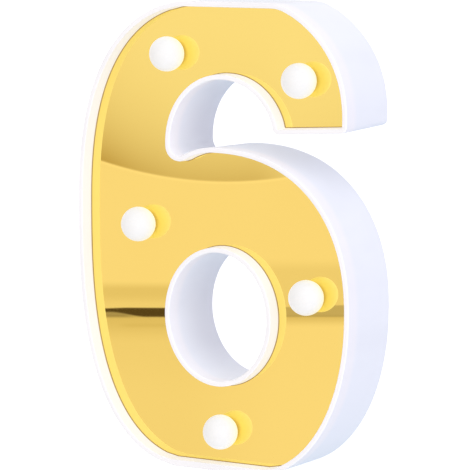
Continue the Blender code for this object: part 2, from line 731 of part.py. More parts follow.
def build_battery_door(material):
    """The door: two tabs under the cover's edge and a snap tongue with finger grooves."""
    axis = (BAY_X, y_at(DEPTH), DOOR_BOTTOM)
    door_top = DOOR_BOTTOM + DOOR_HEIGHT
    hinge = bpy.data.objects.new("battery_door_axis", None)
    bpy.context.scene.collection.objects.link(hinge)
    hinge.location = axis
    panel = centred_box(BAY_X, BAY_Z, DOOR_WIDTH, DOOR_HEIGHT, COVER_FRONT, DEPTH)
    door = add_object("battery_door", panel, material, axis, hinge)
    tab_front = COVER_FRONT - GAP - TAB_THICKNESS
    roots = []
    tabs = []
    for side in (-1, 1):
        low_x = BAY_X + side * TAB_SPACING / 2 - TAB_WIDTH / 2
        high_x = low_x + TAB_WIDTH
        root_top = BAY_BOTTOM + TAB_THICKNESS + DOOR_LEDGE
        roots.append(box((low_x, y_at(tab_front), BAY_BOTTOM + GAP),
                         (high_x, y_at(COVER_FRONT + COVER_THICKNESS / 2), root_top)))
        tabs.append(box((low_x, y_at(tab_front), DOOR_BOTTOM - TAB_REACH),
                        (high_x, y_at(COVER_FRONT - GAP), root_top - DOOR_LEDGE)))
    join(door, merged(roots), "tab_roots")
    join(door, merged(tabs), "tabs")
    slits = [
        box((BAY_X + side * (TONGUE_WIDTH + TONGUE_SLIT) / 2 - TONGUE_SLIT / 2, y_at(COVER_FRONT - OVERRUN),
             door_top - TONGUE_LENGTH),
            (BAY_X + side * (TONGUE_WIDTH + TONGUE_SLIT) / 2 + TONGUE_SLIT / 2, y_at(DEPTH + OVERRUN),
             door_top + OVERRUN))
        for side in (-1, 1)
    ]
    grips = [
        centred_box(BAY_X, door_top - (row + 1) * GRIP_PITCH - GRIP_HEIGHT / 2, GRIP_WIDTH, GRIP_HEIGHT,
                    DEPTH - GRIP_DEPTH, DEPTH + OVERRUN)
        for row in range(GRIP_COUNT)
    ]
    cut(door, merged(slits + grips), "tongue_and_grips")
    return door


def cell_x(side):
    """The X of the left (-1) or right (1) cell, seen from the front."""
    return BAY_X + side * CELL_SPACING / 2


def cell_bottom(side):
    """The left cell stands on a spring, and the right one on its contact."""
    room = SPRING_ROOM if side < 0 else 0
    return BAY_BOTTOM + CONTACT_THICKNESS + 2 * GAP + room


def build_cell(number, side, material):
    """An AA cell along Z. The right cell is upside down."""
    crown = CELL_LENGTH - CELL_NUB
    profile = [
        (0, 0), (CELL_RADIUS - CELL_EDGE, 0), (CELL_RADIUS, CELL_EDGE), (CELL_RADIUS, crown - CELL_EDGE),
        (CELL_RADIUS - CELL_EDGE, crown), (CELL_NUB_RADIUS, crown), (CELL_NUB_RADIUS, CELL_LENGTH),
        (0, CELL_LENGTH),
    ]
    bm = turned(profile, HOLE_SIDES)
    upright = Matrix.Rotation(math.pi / 2, 3, "X")
    bmesh.ops.rotate(bm, cent=(0, 0, 0), matrix=upright, verts=bm.verts)
    if side > 0:
        half_turn = Matrix.Rotation(math.pi, 3, "X")
        bmesh.ops.rotate(bm, cent=(0, 0, CELL_LENGTH / 2), matrix=half_turn, verts=bm.verts)
    origin = (cell_x(side), y_at(CELL_DEPTH), cell_bottom(side))
    return add_object(f"battery_{number}", moved(bm, *origin), material, origin)


def contact(name, low_x, high_x, low_z, material):
    """A sheet-metal contact that stands against an end of the bay."""
    low_y = y_at(CELL_DEPTH - CONTACT_HEIGHT / 2)
    return add_object(name, box((low_x, low_y, low_z),
                                (high_x, low_y + CONTACT_HEIGHT, low_z + CONTACT_THICKNESS)), material)


def build_contacts(material):
    """The bridge at the bottom of the bay and the two end contacts at its top."""
    low = BAY_BOTTOM + GAP
    high = BAY_TOP - GAP - CONTACT_THICKNESS
    half = CONTACT_WIDTH / 2
    contact("bridge_contact", cell_x(-1) - half, cell_x(1) + half, low, material)
    contact("positive_contact", cell_x(-1) - half, cell_x(-1) + half, high, material)
    contact("negative_contact", cell_x(1) - half, cell_x(1) + half, high, material)


def build_spring(name, side, base, tip, material):
    """A conical battery spring: one unbroken wire from the contact to the cell."""
    radius = SPRING_WIRE / 2
    direction = 1 if tip > base else -1
    start = base + direction * (GAP + radius)
    length = abs(tip - base) - 2 * (GAP + radius)
    count = round(SPRING_TURNS * SPRING_POINTS_PER_TURN)
    points = []
    for step in range(count + 1):
        share = step / count
        turn = 2 * math.pi * SPRING_TURNS * share
        reach = SPRING_BASE_RADIUS + (SPRING_TOP_RADIUS - SPRING_BASE_RADIUS) * share
        points.append(Vector((
            cell_x(side) + reach * math.cos(turn), y_at(CELL_DEPTH) + reach * math.sin(turn),
            start + direction * length * share,
        )))
    gaps = [(a - b).length - SPRING_WIRE for i, a in enumerate(points)
            for b in points[i + SPRING_POINTS_PER_TURN // 2:]]
    print(f"{name}: least gap between turns {min(gaps) / MM:.2f} mm")
    return tube(name, points, radius, material, 1)


def build_switch(material):
    """The slide switch behind the cover and the knob that shows in the cover's slot."""
    back = COVER_FRONT - GAP
    front = back - SWITCH_DEPTH
    body = add_object("switch_body", centred_box(
        SWITCH_X, SWITCH_Z, SWITCH_WIDTH, SWITCH_HEIGHT, front, back), material)
    foot_back = back - SWITCH_SHELL
    foot_front = foot_back - KNOB_FOOT
    cut(body, centred_box(
        SWITCH_X, SWITCH_Z, KNOB_FOOT_WIDTH + SWITCH_TRAVEL + 2 * GAP, KNOB_FOOT_HEIGHT + 2 * GAP,
        foot_front - 2 * GAP, foot_back,
    ), "track")
    cut(body, centred_box(
        SWITCH_X, SWITCH_Z, KNOB_STEM_WIDTH + SWITCH_TRAVEL + 2 * GAP, KNOB_STEM_HEIGHT + 2 * GAP,
        foot_back - GAP, back + OVERRUN,
    ), "slot")
    pins = [
        centred_box(SWITCH_X + place_of_pin * PIN_SPACING, SWITCH_Z, PIN_WIDTH, PIN_WIDTH,
                    front - PIN_LENGTH, front + SWITCH_SHELL)
        for place_of_pin in (-1, 0, 1)
    ]
    join(body, merged(pins), "pins")
    off_x = SWITCH_X - SWITCH_TRAVEL / 2
    origin = (off_x, y_at(DEPTH), SWITCH_Z)
    knob = add_object("switch_knob", centred_box(
        off_x, SWITCH_Z, KNOB_FOOT_WIDTH, KNOB_FOOT_HEIGHT, foot_front - GAP, foot_back - GAP,
    ), material, origin)
    join(knob, centred_box(
        off_x, SWITCH_Z, KNOB_STEM_WIDTH, KNOB_STEM_HEIGHT,
        foot_back - GAP - KNOB_FOOT / 2, DEPTH - KNOB_SUNK,
    ), "stem")


def lead_x(number, side):
    """The X of one lead of a lamp."""
    return place(GLOBE_SHARES[number - 1])[0] + side * LEAD_SPREAD / 2


def build_link_wires(material):
    """The twin wires from lamp to lamp, each drawn as one jacket, which lie just behind the lamps' leads."""
    y = y_at(led_back() + LEAD_LENGTH + GAP + WIRE_RADIUS)
    for number, (first, first_side, last, last_side, way) in enumerate(LINK_ROUTES, 1):
        start = (lead_x(first, first_side), place(GLOBE_SHARES[first - 1])[1])
        end = (lead_x(last, last_side), place(GLOBE_SHARES[last - 1])[1])
        stops = [Vector((x, y, z)) for x, z in [start, *map(place, way), end]]
        tube(f"led_link_wire_{number}", smooth_route(stops, ROUTE_STEPS), WIRE_RADIUS, material)


def build_resistor(material):
    """A resistor along X in the lead to the third lamp, with its own two leads."""
    end_x = lead_x(3, -1) - LEAD_WIDTH / 2 - GAP
    half_body = RESISTOR_LENGTH / 2
    half = half_body + RESISTOR_LEAD
    profile = [
        (0, -half), (RESISTOR_LEAD_RADIUS, -half), (RESISTOR_LEAD_RADIUS, -half_body),
        (RESISTOR_RADIUS, -half_body + RESISTOR_EDGE), (RESISTOR_RADIUS, half_body - RESISTOR_EDGE),
        (RESISTOR_LEAD_RADIUS, half_body), (RESISTOR_LEAD_RADIUS, half), (0, half),
    ]
    bm = turned(profile, SMALL_SIDES)
    bmesh.ops.rotate(bm, cent=(0, 0, 0), matrix=Matrix.Rotation(-math.pi / 2, 3, "Z"), verts=bm.verts)
    centre = (end_x - half, feed_y(), place(GLOBE_SHARES[2])[1])
    add_object("resistor", moved(bm, *centre), material, centre)
    return centre[0] - half


def feed_y():
    """The Y of the feed where it meets the third lamp's leads, half way along them."""
    return y_at(led_back() + LEAD_LENGTH / 2)


def build_feed_wires(resistor_end, red_material, black_material):
    """The wires from the cells' contacts to the resistor and the switch, and from there to the third lamp."""
    lamp_z = place(GLOBE_SHARES[2])[1]
    contact_y = y_at(CELL_DEPTH - CONTACT_HEIGHT / 2 - GAP - FEED_RADIUS)
    contact_z = BAY_TOP - GAP - CONTACT_THICKNESS / 2
    over_wall = BAY_TOP + BAY_WALL + FEED_RADIUS
    before_bay = y_at(BAY_FRONT - GAP - FEED_RADIUS)
    pin_y = y_at(COVER_FRONT - GAP - SWITCH_DEPTH - PIN_LENGTH - GAP)
    bend = 4 * FEED_RADIUS

    left = cell_x(-1)
    positive = [
        (left, contact_y, contact_z), (left, contact_y, over_wall),
        (left - bend / 2, (contact_y + before_bay) / 2, over_wall + bend),
        (left - bend, before_bay, over_wall),
        (left - 3 * bend, before_bay, BAY_TOP - 3 * bend),
        (resistor_end - 2 * bend, (before_bay + feed_y()) / 2, lamp_z + 4 * bend),
        (resistor_end - 2 * bend, feed_y(), lamp_z + bend),
        (resistor_end - GAP, feed_y(), lamp_z),
    ]
    tube("battery_wire_positive", smooth_route(positive, ROUTE_STEPS), FEED_RADIUS, red_material)

    right = cell_x(1)
    bay_foot = BAY_BOTTOM - BAY_WALL
    negative = [
        (right, contact_y, contact_z), (right, contact_y, over_wall),
        (right - bend / 2, (contact_y + before_bay) / 2, over_wall + bend),
        (right - bend, before_bay, over_wall),
        (BAY_X, before_bay, BAY_TOP - 4 * bend),
        (BAY_X - bend, before_bay, BAY_Z),
        (BAY_X - bend, before_bay, bay_foot - bend),
        (BAY_X, (before_bay + pin_y) / 2, SWITCH_Z + 3 * bend),
        (SWITCH_X, pin_y - bend, SWITCH_Z),
        (SWITCH_X, pin_y, SWITCH_Z),
    ]
    tube("battery_wire_negative", smooth_route(negative, ROUTE_STEPS), FEED_RADIUS, black_material)

    lamp_end = lead_x(3, 1) + LEAD_WIDTH / 2 + GAP
    switched = [
        (lamp_end, feed_y(), lamp_z), (lamp_end + bend, feed_y(), lamp_z),
        (lamp_end + 2 * bend, (before_bay + feed_y()) / 2, lamp_z - 3 * bend),
        (lamp_end + bend, before_bay, bay_foot - bend),
        (lamp_end - bend, (before_bay + pin_y) / 2, SWITCH_Z + 3 * bend),
        (SWITCH_X + PIN_SPACING, pin_y - bend, SWITCH_Z),
        (SWITCH_X + PIN_SPACING, pin_y, SWITCH_Z),
    ]
    tube("switch_wire", smooth_route(switched, ROUTE_STEPS), FEED_RADIUS, black_material)


def main():
    for obj in list(bpy.data.objects):
        bpy.data.objects.remove(obj, do_unlink=True)
    white = finish("white_moulding", (0.93, 0.93, 0.96), 0.35)
    mirror = finish("gold_mirror", (0.95, 0.72, 0.28), 0.04, 1.0)
    diffuser = finish("milky_diffuser", (0.97, 0.96, 0.93), 0.4)
    holder = finish("holder_white", (0.85, 0.85, 0.83), 0.5)
    lamp = finish("lamp_epoxy", (0.95, 0.92, 0.78), 0.1)
    steel = finish("plated_steel", (0.7, 0.7, 0.7), 0.25, 1.0)
    sleeve = finish("cell_sleeve", (0.12, 0.16, 0.2), 0.4)
    black = finish("switch_black", (0.03, 0.03, 0.035), 0.5)
    wire = finish("twin_wire", (0.8, 0.8, 0.78), 0.5)
    red = finish("red_wire", (0.6, 0.03, 0.02), 0.5)
    lacquer = finish("resistor_lacquer", (0.75, 0.6, 0.4), 0.5)

    build_housing(white)
    build_face_plate(mirror)
    for number, shares in enumerate(GLOBE_SHARES, 1):
        build_globe(number, shares, diffuser)
        build_led_holder(number, shares, holder)
        build_led(number, shares, lamp)
    build_back_cover(white)
    for number, shares in enumerate(SCREW_SHARES, 1):
        build_screw(number, shares, steel)
    build_battery_door(white)
    build_cell(1, -1, sleeve)
    build_cell(2, 1, sleeve)
    build_contacts(steel)
    low_contact = BAY_BOTTOM + GAP + CONTACT_THICKNESS
    high_contact = BAY_TOP - GAP - CONTACT_THICKNESS
    build_spring("bridge_spring", -1, low_contact, cell_bottom(-1), steel)
    build_spring("negative_spring", 1, high_contact, cell_bottom(1) + CELL_LENGTH, steel)
    build_switch(black)
    build_link_wires(wire)
    build_feed_wires(build_resistor(lacquer), red, black)


main()
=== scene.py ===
"""A light-up marquee number six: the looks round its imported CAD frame.

Sizes are in millimetres and become metres where a mesh is made. Depths count from the front edge of the
rim towards the back.
"""

import logging
import math
from collections.abc import Sequence
from dataclasses import dataclass, field
from enum import Enum
from typing import Any

import bmesh
import bpy
from mathutils import Matrix, Vector


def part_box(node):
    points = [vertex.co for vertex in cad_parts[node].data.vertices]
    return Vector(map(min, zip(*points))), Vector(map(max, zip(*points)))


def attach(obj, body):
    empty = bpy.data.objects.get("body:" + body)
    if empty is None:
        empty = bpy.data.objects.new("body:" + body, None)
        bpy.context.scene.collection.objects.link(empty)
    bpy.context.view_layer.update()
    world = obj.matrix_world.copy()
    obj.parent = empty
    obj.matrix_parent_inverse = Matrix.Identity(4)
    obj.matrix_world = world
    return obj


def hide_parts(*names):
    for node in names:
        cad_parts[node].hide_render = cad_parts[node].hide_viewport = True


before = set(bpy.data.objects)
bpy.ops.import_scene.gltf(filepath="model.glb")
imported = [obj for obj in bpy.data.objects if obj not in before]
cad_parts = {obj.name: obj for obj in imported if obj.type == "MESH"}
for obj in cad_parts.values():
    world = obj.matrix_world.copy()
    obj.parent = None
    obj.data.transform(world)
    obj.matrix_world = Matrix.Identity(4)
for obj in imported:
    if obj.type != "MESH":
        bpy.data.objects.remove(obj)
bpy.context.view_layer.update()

LOG = logging.getLogger("marquee_six")
MM = 0.001
QUARTER = math.pi / 2
FULL_TURN = 2 * math.pi
MERGE_DISTANCE = 0.002
SMOOTH_LIMIT = math.radians(32)

Pair = tuple[float, float]
Triple = tuple[float, float, float]
Colour = Triple
Ramp = Triple
Station = tuple[float, float]
Loop = list[Vector]
Layer = tuple[float, Loop]
Edges = list[bmesh.types.BMEdge]


class Body(Enum):
    """The bodies of the frame that pieces ride on."""

    ROOT = "root"
    DOOR = "battery_door"
    KNOB = "switch_knob"


class Slot(Enum):
    """The record's material slots."""

    MOULDING = "white_moulding"
    COVER = "white_cover"
    MIRROR = "gold_mirror"
    DIFFUSER = "milky_diffuser"
    LAMP = "lamp_epoxy"
    HOLDER = "holder_white"
    STEEL = "plated_steel"
    SLEEVE = "cell_sleeve"
    SWITCH = "switch_black"
    TWIN_WIRE = "twin_wire"
    RED_WIRE = "red_wire"
    BLACK_WIRE = "black_wire"
    LACQUER = "resistor_lacquer"


# Shader maths


class Signal:
    """A shader socket that takes part in Python arithmetic."""

    def __init__(self, tree: "ShaderTree", socket: bpy.types.NodeSocket) -> None:
        """Wraps a socket of a tree."""
        self.tree = tree
        self.socket = socket

    def _with(self, operation: str, other: "Signal | float", reflected: bool = False) -> "Signal":
        """Adds a Math node.

        Args:
            operation: The Math node's operation.
            other: The second operand.
            reflected: True where this signal stands to the right of the operator.

        Returns:
            The node's result.
        """
        pair = (other, self) if reflected else (self, other)
        return self.tree.value("ShaderNodeMath", {"operation": operation}, dict(enumerate(pair)))

    def __add__(self, other: "Signal | float") -> "Signal":
        """The sum."""
        return self._with("ADD", other)

    def __sub__(self, other: "Signal | float") -> "Signal":
        """The difference."""
        return self._with("SUBTRACT", other)

    def __rsub__(self, other: "Signal | float") -> "Signal":
        """The difference from a number."""
        return self._with("SUBTRACT", other, True)

    def __mul__(self, other: "Signal | float") -> "Signal":
        """The product."""
        return self._with("MULTIPLY", other)

    def __truediv__(self, other: "Signal | float") -> "Signal":
        """The quotient."""
        return self._with("DIVIDE", other)

    def __rtruediv__(self, other: "Signal | float") -> "Signal":
        """A number divided by this signal."""
        return self._with("DIVIDE", other, True)

    def __pow__(self, other: "Signal | float") -> "Signal":
        """The power."""
        return self._with("POWER", other)

    def __rpow__(self, other: "Signal | float") -> "Signal":
        """A number raised to this signal."""
        return self._with("POWER", other, True)

    __radd__ = __add__
    __rmul__ = __mul__

    def at_least(self, low: float) -> "Signal":
        """The signal, but never below a number."""
        return self._with("MAXIMUM", low)

    def step(self, low: float, high: float) -> "Signal":
        """A smooth step.

        Args:
            low: Where the step leaves 0.
            high: Where it reaches 1.

        Returns:
            0 at and before low, 1 at and after high.
        """
        return self.tree.value(
            "ShaderNodeMapRange", {"interpolation_type": "SMOOTHSTEP"},
            {"Value": self, "From Min": low, "From Max": high},
        )


@dataclass(frozen=True)
class Grain:
    """What a noise looks like.

    Attributes:
        scale: Features in a metre.
        detail: Octaves.
        roughness: How much each octave adds.
    """

    scale: float
    detail: float = 2.0
    roughness: float = 0.5


class ShaderTree:
    """The node tree of one material or world, made through a single node method."""

    def __init__(self, owner: bpy.types.Material | bpy.types.World) -> None:
        """Empties the owner's node tree.

        Args:
            owner: The material or world.
        """
        owner.use_nodes = True
        self.tree = owner.node_tree
        self.tree.nodes.clear()

    def node(self, kind: str, settings: dict[str, Any] | None = None,
             sockets: dict[str | int, Any] | None = None) -> bpy.types.Node:
        """Adds a node.

        Args:
            kind: The node's type.
            settings: Its own properties.
            sockets: Values, signals or sockets by input name or number.

        Returns:
            The node.
        """
        made = self.tree.nodes.new(kind)
        for name, setting in (settings or {}).items():
            setattr(made, name, setting)
        for name, value in (sockets or {}).items():
            if isinstance(value, Signal):
                self.tree.links.new(value.socket, made.inputs[name])
            elif isinstance(value, bpy.types.NodeSocket):
                self.tree.links.new(value, made.inputs[name])
            else:
                made.inputs[name].default_value = value
        return made

    def value(self, kind: str, settings: dict[str, Any] | None = None,
              sockets: dict[str | int, Any] | None = None, output: str | int = 0) -> Signal:
        """Adds a node and returns one of its outputs as a signal."""
        return Signal(self, self.node(kind, settings, sockets).outputs[output])

    def coordinates(self) -> Signal:
        """The piece's Object coordinates, in metres."""
        return self.value("ShaderNodeTexCoord", output="Object")

    def axes(self, vector: Signal) -> tuple[Signal, ...]:
        """The three numbers of a vector."""
        split = self.node("ShaderNodeSeparateXYZ", sockets={0: vector})
        return tuple(Signal(self, output) for output in split.outputs)

    def scaled(self, vector: Signal, scale: Triple) -> Signal:
        """A vector scaled along each axis, by a Mapping node."""
        return self.value("ShaderNodeMapping", sockets={"Vector": vector, "Scale": scale})

    def noise(self, vector: Signal, grain: Grain) -> Signal:
        """A noise of one number around 0.5, read at a vector."""
        return self.value("ShaderNodeTexNoise", sockets={
            "Vector": vector, "Scale": grain.scale, "Detail": grain.detail, "Roughness": grain.roughness})

    def mix(self, factor: Signal | float, first: Signal | Colour, second: Signal | Colour) -> Signal:
        """A colour between two.

        Args:
            factor: 0 for the first, 1 for the second.
            first: The first colour.
            second: The second colour.

        Returns:
            The mixed colour.
        """
        def ready(colour: Signal | Colour) -> Any:
            """A colour with its alpha, unless it is a signal."""
            return colour if isinstance(colour, Signal) else (*colour, 1)

        return self.value(
            "ShaderNodeMix", {"data_type": "RGBA"},
            {0: factor, 6: ready(first), 7: ready(second)}, output=2,
        )

    def bump(self, height: Signal, strength: float, distance: float, normal: Signal | None = None) -> Signal:
        """A normal from a height.

        Args:
            height: The height.
            strength: From 0 to 1.
            distance: The height of 1, in metres.
            normal: A bumped normal to add to.

        Returns:
            The normal.
        """
        sockets: dict[str | int, Any] = {"Height": height, "Strength": strength, "Distance": distance}
        if normal:
            sockets["Normal"] = normal
        return self.value("ShaderNodeBump", sockets=sockets)

    def principled(self, sockets: dict[str | int, Any]) -> None:
        """Ends the tree in a Principled shader with these sockets."""
        shader = self.node("ShaderNodeBsdfPrincipled", sockets=sockets)
        self.node("ShaderNodeOutputMaterial", sockets={"Surface": shader.outputs[0]})


# Finishes


@dataclass(frozen=True)
class Finish:
    """What every finish has: a name and a way to make its material once."""

    name: str

    def material(self) -> bpy.types.Material:
        """Finds the finish's material, or makes it on its first use.

        Returns:
            The material.
        """
        ready = bpy.data.materials.get(self.name)
        if ready:
            return ready
        made = bpy.data.materials.new(self.name)
        self.lay(ShaderTree(made))
        return made

    def lay(self, tree: ShaderTree) -> None:
        """Builds the finish in an empty tree."""
        raise NotImplementedError


@dataclass(frozen=True)
class MouldedPlastic(Finish):
    """Injection-moulded plastic with a faint grain, soft flow marks and dust-dulled patches."""

    colour: Colour = (0.93, 0.935, 0.955)
    shade: Colour = (0.90, 0.905, 0.93)
    roughness: float = 0.44
    roughness_spread: float = 0.08
    flow: Grain = Grain(22, 3, 0.55)
    flow_stretch: Triple = (1, 0.6, 1.8)
    flow_edges: Pair = (0.35, 0.7)
    dust: Grain = Grain(160, 4, 0.6)
    grain_scale: float = 2600.0
    grain_height: float = 0.00002
    wave: Grain = Grain(45, 1)
    wave_height: float = 0.0003

    def sockets(self, tree: ShaderTree) -> dict[str | int, Any]:
        """What the finish feeds its shader's sockets.

        Args:
            tree: The tree in which its nodes are made.

        Returns:
            Values and signals by socket.
        """
        where = tree.coordinates()
        flow = tree.noise(tree.scaled(where, self.flow_stretch), self.flow)
        dulled = tree.noise(where, self.dust)
        grain = tree.noise(where, Grain(self.grain_scale, 2, 0.6))
        waves = tree.bump(tree.noise(where, self.wave), 0.25, self.wave_height)
        return {
            "Base Color": tree.mix(flow.step(*self.flow_edges), self.colour, self.shade),
            "Roughness": self.roughness + (dulled - 0.5) * self.roughness_spread,
            "Normal": tree.bump(grain, 0.5, self.grain_height, waves),
            "IOR": 1.5,
        }

    def lay(self, tree: ShaderTree) -> None:
        """Builds the finish in an empty tree."""
        tree.principled(self.sockets(tree))


@dataclass(frozen=True)
class ShellMoulding(MouldedPlastic):
    """The same plastic on the shell, with a painted glow behind the rim for light that leaks through it.

    Attributes:
        painted_leak_glow: The painted glow.
        dark: The light everywhere else.
        leak_rim: The Y over which it comes in behind the rim.
        leak_end: The Y over which it fades towards the back.
    """

    painted_leak_glow: Colour = (0.055, 0.025, 0.004)
    dark: Colour = (0.0, 0.0, 0.0)
    leak_rim: Pair = (-16.6, -16.1)
    leak_end: Pair = (-11.0, -5.5)

    def lay(self, tree: ShaderTree) -> None:
        """Builds the finish.

        Args:
            tree: An empty tree.
        """
        sockets = self.sockets(tree)
        _, depth, _ = tree.axes(tree.coordinates())
        # Painted glow: emission in a band of the walls just behind the rim, fading towards the back.
        behind = depth.step(*(edge * MM for edge in self.leak_rim))
        beyond = depth.step(*(edge * MM for edge in self.leak_end))
        sockets["Emission Color"] = tree.mix(behind * (1 - beyond), self.dark, self.painted_leak_glow)
        sockets["Emission Strength"] = 1.0
        tree.principled(sockets)


@dataclass(frozen=True)
class LitMoulding(MouldedPlastic):
    """Plastic with a painted glow, as if the lamps lit it through, and warm painted shade at the mirror's
    edge.

    Attributes:
        glow: The painted glow.
        mirror_edge_shade: The colour of the painted shade in the gap beside the mirror.
        mirror_edge_shade_glow: The dimmer painted glow in that shade.
        mirror_edge_shade_start: The Y at which the painted shade sets in.
        mirror_edge_shade_end: The Y at which it is full.
    """

    colour: Colour = (0.5, 0.5, 0.52)
    shade: Colour = (0.49, 0.49, 0.51)
    glow: Colour = (0.49, 0.475, 0.455)
    mirror_edge_shade: Colour = (0.34, 0.24, 0.12)
    mirror_edge_shade_glow: Colour = (0.2, 0.13, 0.05)
    mirror_edge_shade_start: float = -10.1
    mirror_edge_shade_end: float = -9.7

    def lay(self, tree: ShaderTree) -> None:
        """Builds the finish.

        Args:
            tree: An empty tree.
        """
        sockets = self.sockets(tree)
        _, depth, _ = tree.axes(tree.coordinates())
        # Painted shade: the wall's colour and glow turn dark brown just before the mirror's face.
        mirror_edge_shade = depth.step(self.mirror_edge_shade_start * MM, self.mirror_edge_shade_end * MM)
        sockets["Base Color"] = tree.mix(mirror_edge_shade, sockets["Base Color"], self.mirror_edge_shade)
        sockets["Emission Color"] = tree.mix(mirror_edge_shade, self.glow, self.mirror_edge_shade_glow)
        sockets["Emission Strength"] = 1.0
        tree.principled(sockets)


@dataclass(frozen=True)
class GoldMirror(Finish):
    """A gold mirror sheet, almost without a ripple."""

    colour: Colour = (0.99, 0.78, 0.205)
    tarnish: Colour = (0.98, 0.765, 0.195)
    roughness: float = 0.012
    film: Grain = Grain(9)
    haze: Grain = Grain(700, 3, 0.6)
    ripple: Grain = Grain(14, 1, 0.4)
    ripple_height: float = 0.00004

    def lay(self, tree: ShaderTree) -> None:
        """Builds the finish.

        Args:
            tree: An empty tree.
        """
        where = tree.coordinates()
        film = tree.noise(where, self.film)
        haze = tree.noise(where, self.haze)
        ripple = tree.noise(tree.scaled(where, (1, 0, 1)), self.ripple)
        tree.principled({
            "Base Color": tree.mix(film.step(0.3, 0.7), self.colour, self.tarnish),
            "Metallic": 1.0,
            "Roughness": self.roughness + haze.step(0.5, 0.9) * self.roughness,
            "Normal": tree.bump(ripple, 0.2, self.ripple_height),
        })


@dataclass(frozen=True)
class LitDiffuser(Finish):
    """Milky plastic that glows from the lamp in its neck, warmer towards the neck, with painted shade at the
    mirror.

    Attributes:
        colour: The ball's colour.
        frosted: The same where the frosting is thicker.
        low_colour: The colour at the neck.
        glow: The ball's own light.
        low_glow: The light at the neck.
        crevice_shade: Colour and glow of the painted shade in the crevice beside the mirror.
        strength: What the lights are multiplied by.
        warm_start: The Y behind which the light grows warmer.
        crevice_shade_start: The Y behind which the painted crevice shade sets in.
        throat: The Y of the mirror's face, where both are full.
    """

    colour: Colour = (0.33, 0.33, 0.33)
    frosted: Colour = (0.31, 0.31, 0.31)
    low_colour: Colour = (0.52, 0.48, 0.41)
    glow: Colour = (1.16, 1.155, 1.155)
    low_glow: Colour = (1.2, 1.21, 0.79)
    crevice_shade: Colour = (0.5, 0.42, 0.32)
    strength: float = 0.5
    warm_start: float = -21.5
    crevice_shade_start: float = -11.4
    throat: float = -9.4
    roughness: float = 0.42
    frost: Grain = Grain(1500, 3, 0.6)
    frost_height: float = 0.00003

    def lay(self, tree: ShaderTree) -> None:
        """Builds the finish.

        Args:
            tree: An empty tree.
        """
        where = tree.coordinates()
        _, depth, _ = tree.axes(where)
        frost = tree.noise(where, self.frost)
        low = depth.step(self.warm_start * MM, self.throat * MM)
        # Painted shade: colour and glow darken in the last millimetres above the mirror, where the ball meets
        # it.
        deep = depth.step(self.crevice_shade_start * MM, self.throat * MM)
        body = tree.mix(low, tree.mix(frost.step(0.3, 0.7), self.colour, self.frosted), self.low_colour)
        tree.principled({
            "Base Color": tree.mix(deep, body, self.crevice_shade),
            "Roughness": self.roughness + (frost - 0.5) * 0.12,
            "Emission Color": tree.mix(deep, tree.mix(low, self.glow, self.low_glow), self.crevice_shade),
            "Emission Strength": self.strength,
            "Normal": tree.bump(frost, 0.25, self.frost_height),
            "Subsurface Weight": 0.2,
            "Subsurface Radius": (0.004, 0.0035, 0.003),
            "Subsurface Scale": 1.0,
        })


@dataclass(frozen=True)
class PlatedSteel(Finish):
    """Nickel-plated steel with fine drawing lines along one axis."""

    colour: Colour = (0.72, 0.71, 0.69)
    stained: Colour = (0.6, 0.59, 0.57)
    roughness: float = 0.22
    lines: Triple = (1.0, 1.0, 0.08)
    drawing: Grain = Grain(9000, 2, 0.6)
    line_height: float = 0.00001
    stains: Grain = Grain(420, 4, 0.65)

    def lay(self, tree: ShaderTree) -> None:
        """Builds the finish.

        Args:
            tree: An empty tree.
        """
        where = tree.coordinates()
        drawn = tree.noise(tree.scaled(where, self.lines), self.drawing)
        stain = tree.noise(where, self.stains)
        tree.principled({
            "Base Color": tree.mix(stain.step(0.45, 0.75), self.colour, self.stained),
            "Metallic": 1.0,
            "Roughness": self.roughness + (drawn - 0.5) * 0.2 + (stain - 0.5) * 0.1,
            "Normal": tree.bump(drawn, 0.3, self.line_height),
        })


@dataclass(frozen=True)
class PrintedSleeve(Finish):
    """A cell's shrunk sleeve: dark, with a pale band towards one end.

    Attributes:
        band_low: The Z where the pale band starts, in millimetres.
        band_high: The Z where it ends.
        band_edge: Half of what its edge takes.
    """

    band_low: float = 0.0
    band_high: float = 1.0
    band_edge: float = 0.05
    colour: Colour = (0.035, 0.06, 0.095)
    band: Colour = (0.62, 0.66, 0.68)
    scuffs: Grain = Grain(900, 4, 0.65)
    dents: Grain = Grain(300)
    dent_height: float = 0.00004

    def lay(self, tree: ShaderTree) -> None:
        """Builds the finish.

        Args:
            tree: An empty tree.
        """
        where = tree.coordinates()
        _, _, height = tree.axes(where)
        edge = self.band_edge * MM
        low, high = self.band_low * MM, self.band_high * MM
        within = height.step(low - edge, low + edge) * (1 - height.step(high - edge, high + edge))
        scuff = tree.noise(where, self.scuffs)
        tree.principled({
            "Base Color": tree.mix(within, self.colour, self.band),
            "Metallic": 0.35,
            "Roughness": 0.26 + scuff.step(0.45, 0.8) * 0.2,
            "Normal": tree.bump(tree.noise(where, self.dents), 0.3, self.dent_height),
            "Coat Weight": 0.3,
        })


@dataclass(frozen=True)
class LampEpoxy(Finish):
    """A lamp's cast epoxy, clear and warm, paler at its nose."""

    colour: Colour = (0.93, 0.88, 0.7)
    nose: Colour = (0.98, 0.96, 0.88)
    nose_edges: Pair = (-13.0, -6.0)
    glow: Colour = (1.0, 0.9, 0.7)
    pale_glow: Colour = (1.0, 0.95, 0.82)
    swirls: Grain = Grain(700)

    def lay(self, tree: ShaderTree) -> None:
        """Builds the finish.

        Args:
            tree: An empty tree.
        """
        where = tree.coordinates()
        _, depth, _ = tree.axes(where)
        swirl = tree.noise(where, self.swirls)
        body = (depth + swirl * MM).step(*(edge * MM for edge in self.nose_edges))
        tree.principled({
            "Base Color": tree.mix(body, self.nose, self.colour),
            "Roughness": 0.06 + swirl * 0.08,
            "Transmission Weight": 0.4,
            "Emission Color": tree.mix(swirl, self.glow, self.pale_glow),
            "Emission Strength": 0.8,
        })


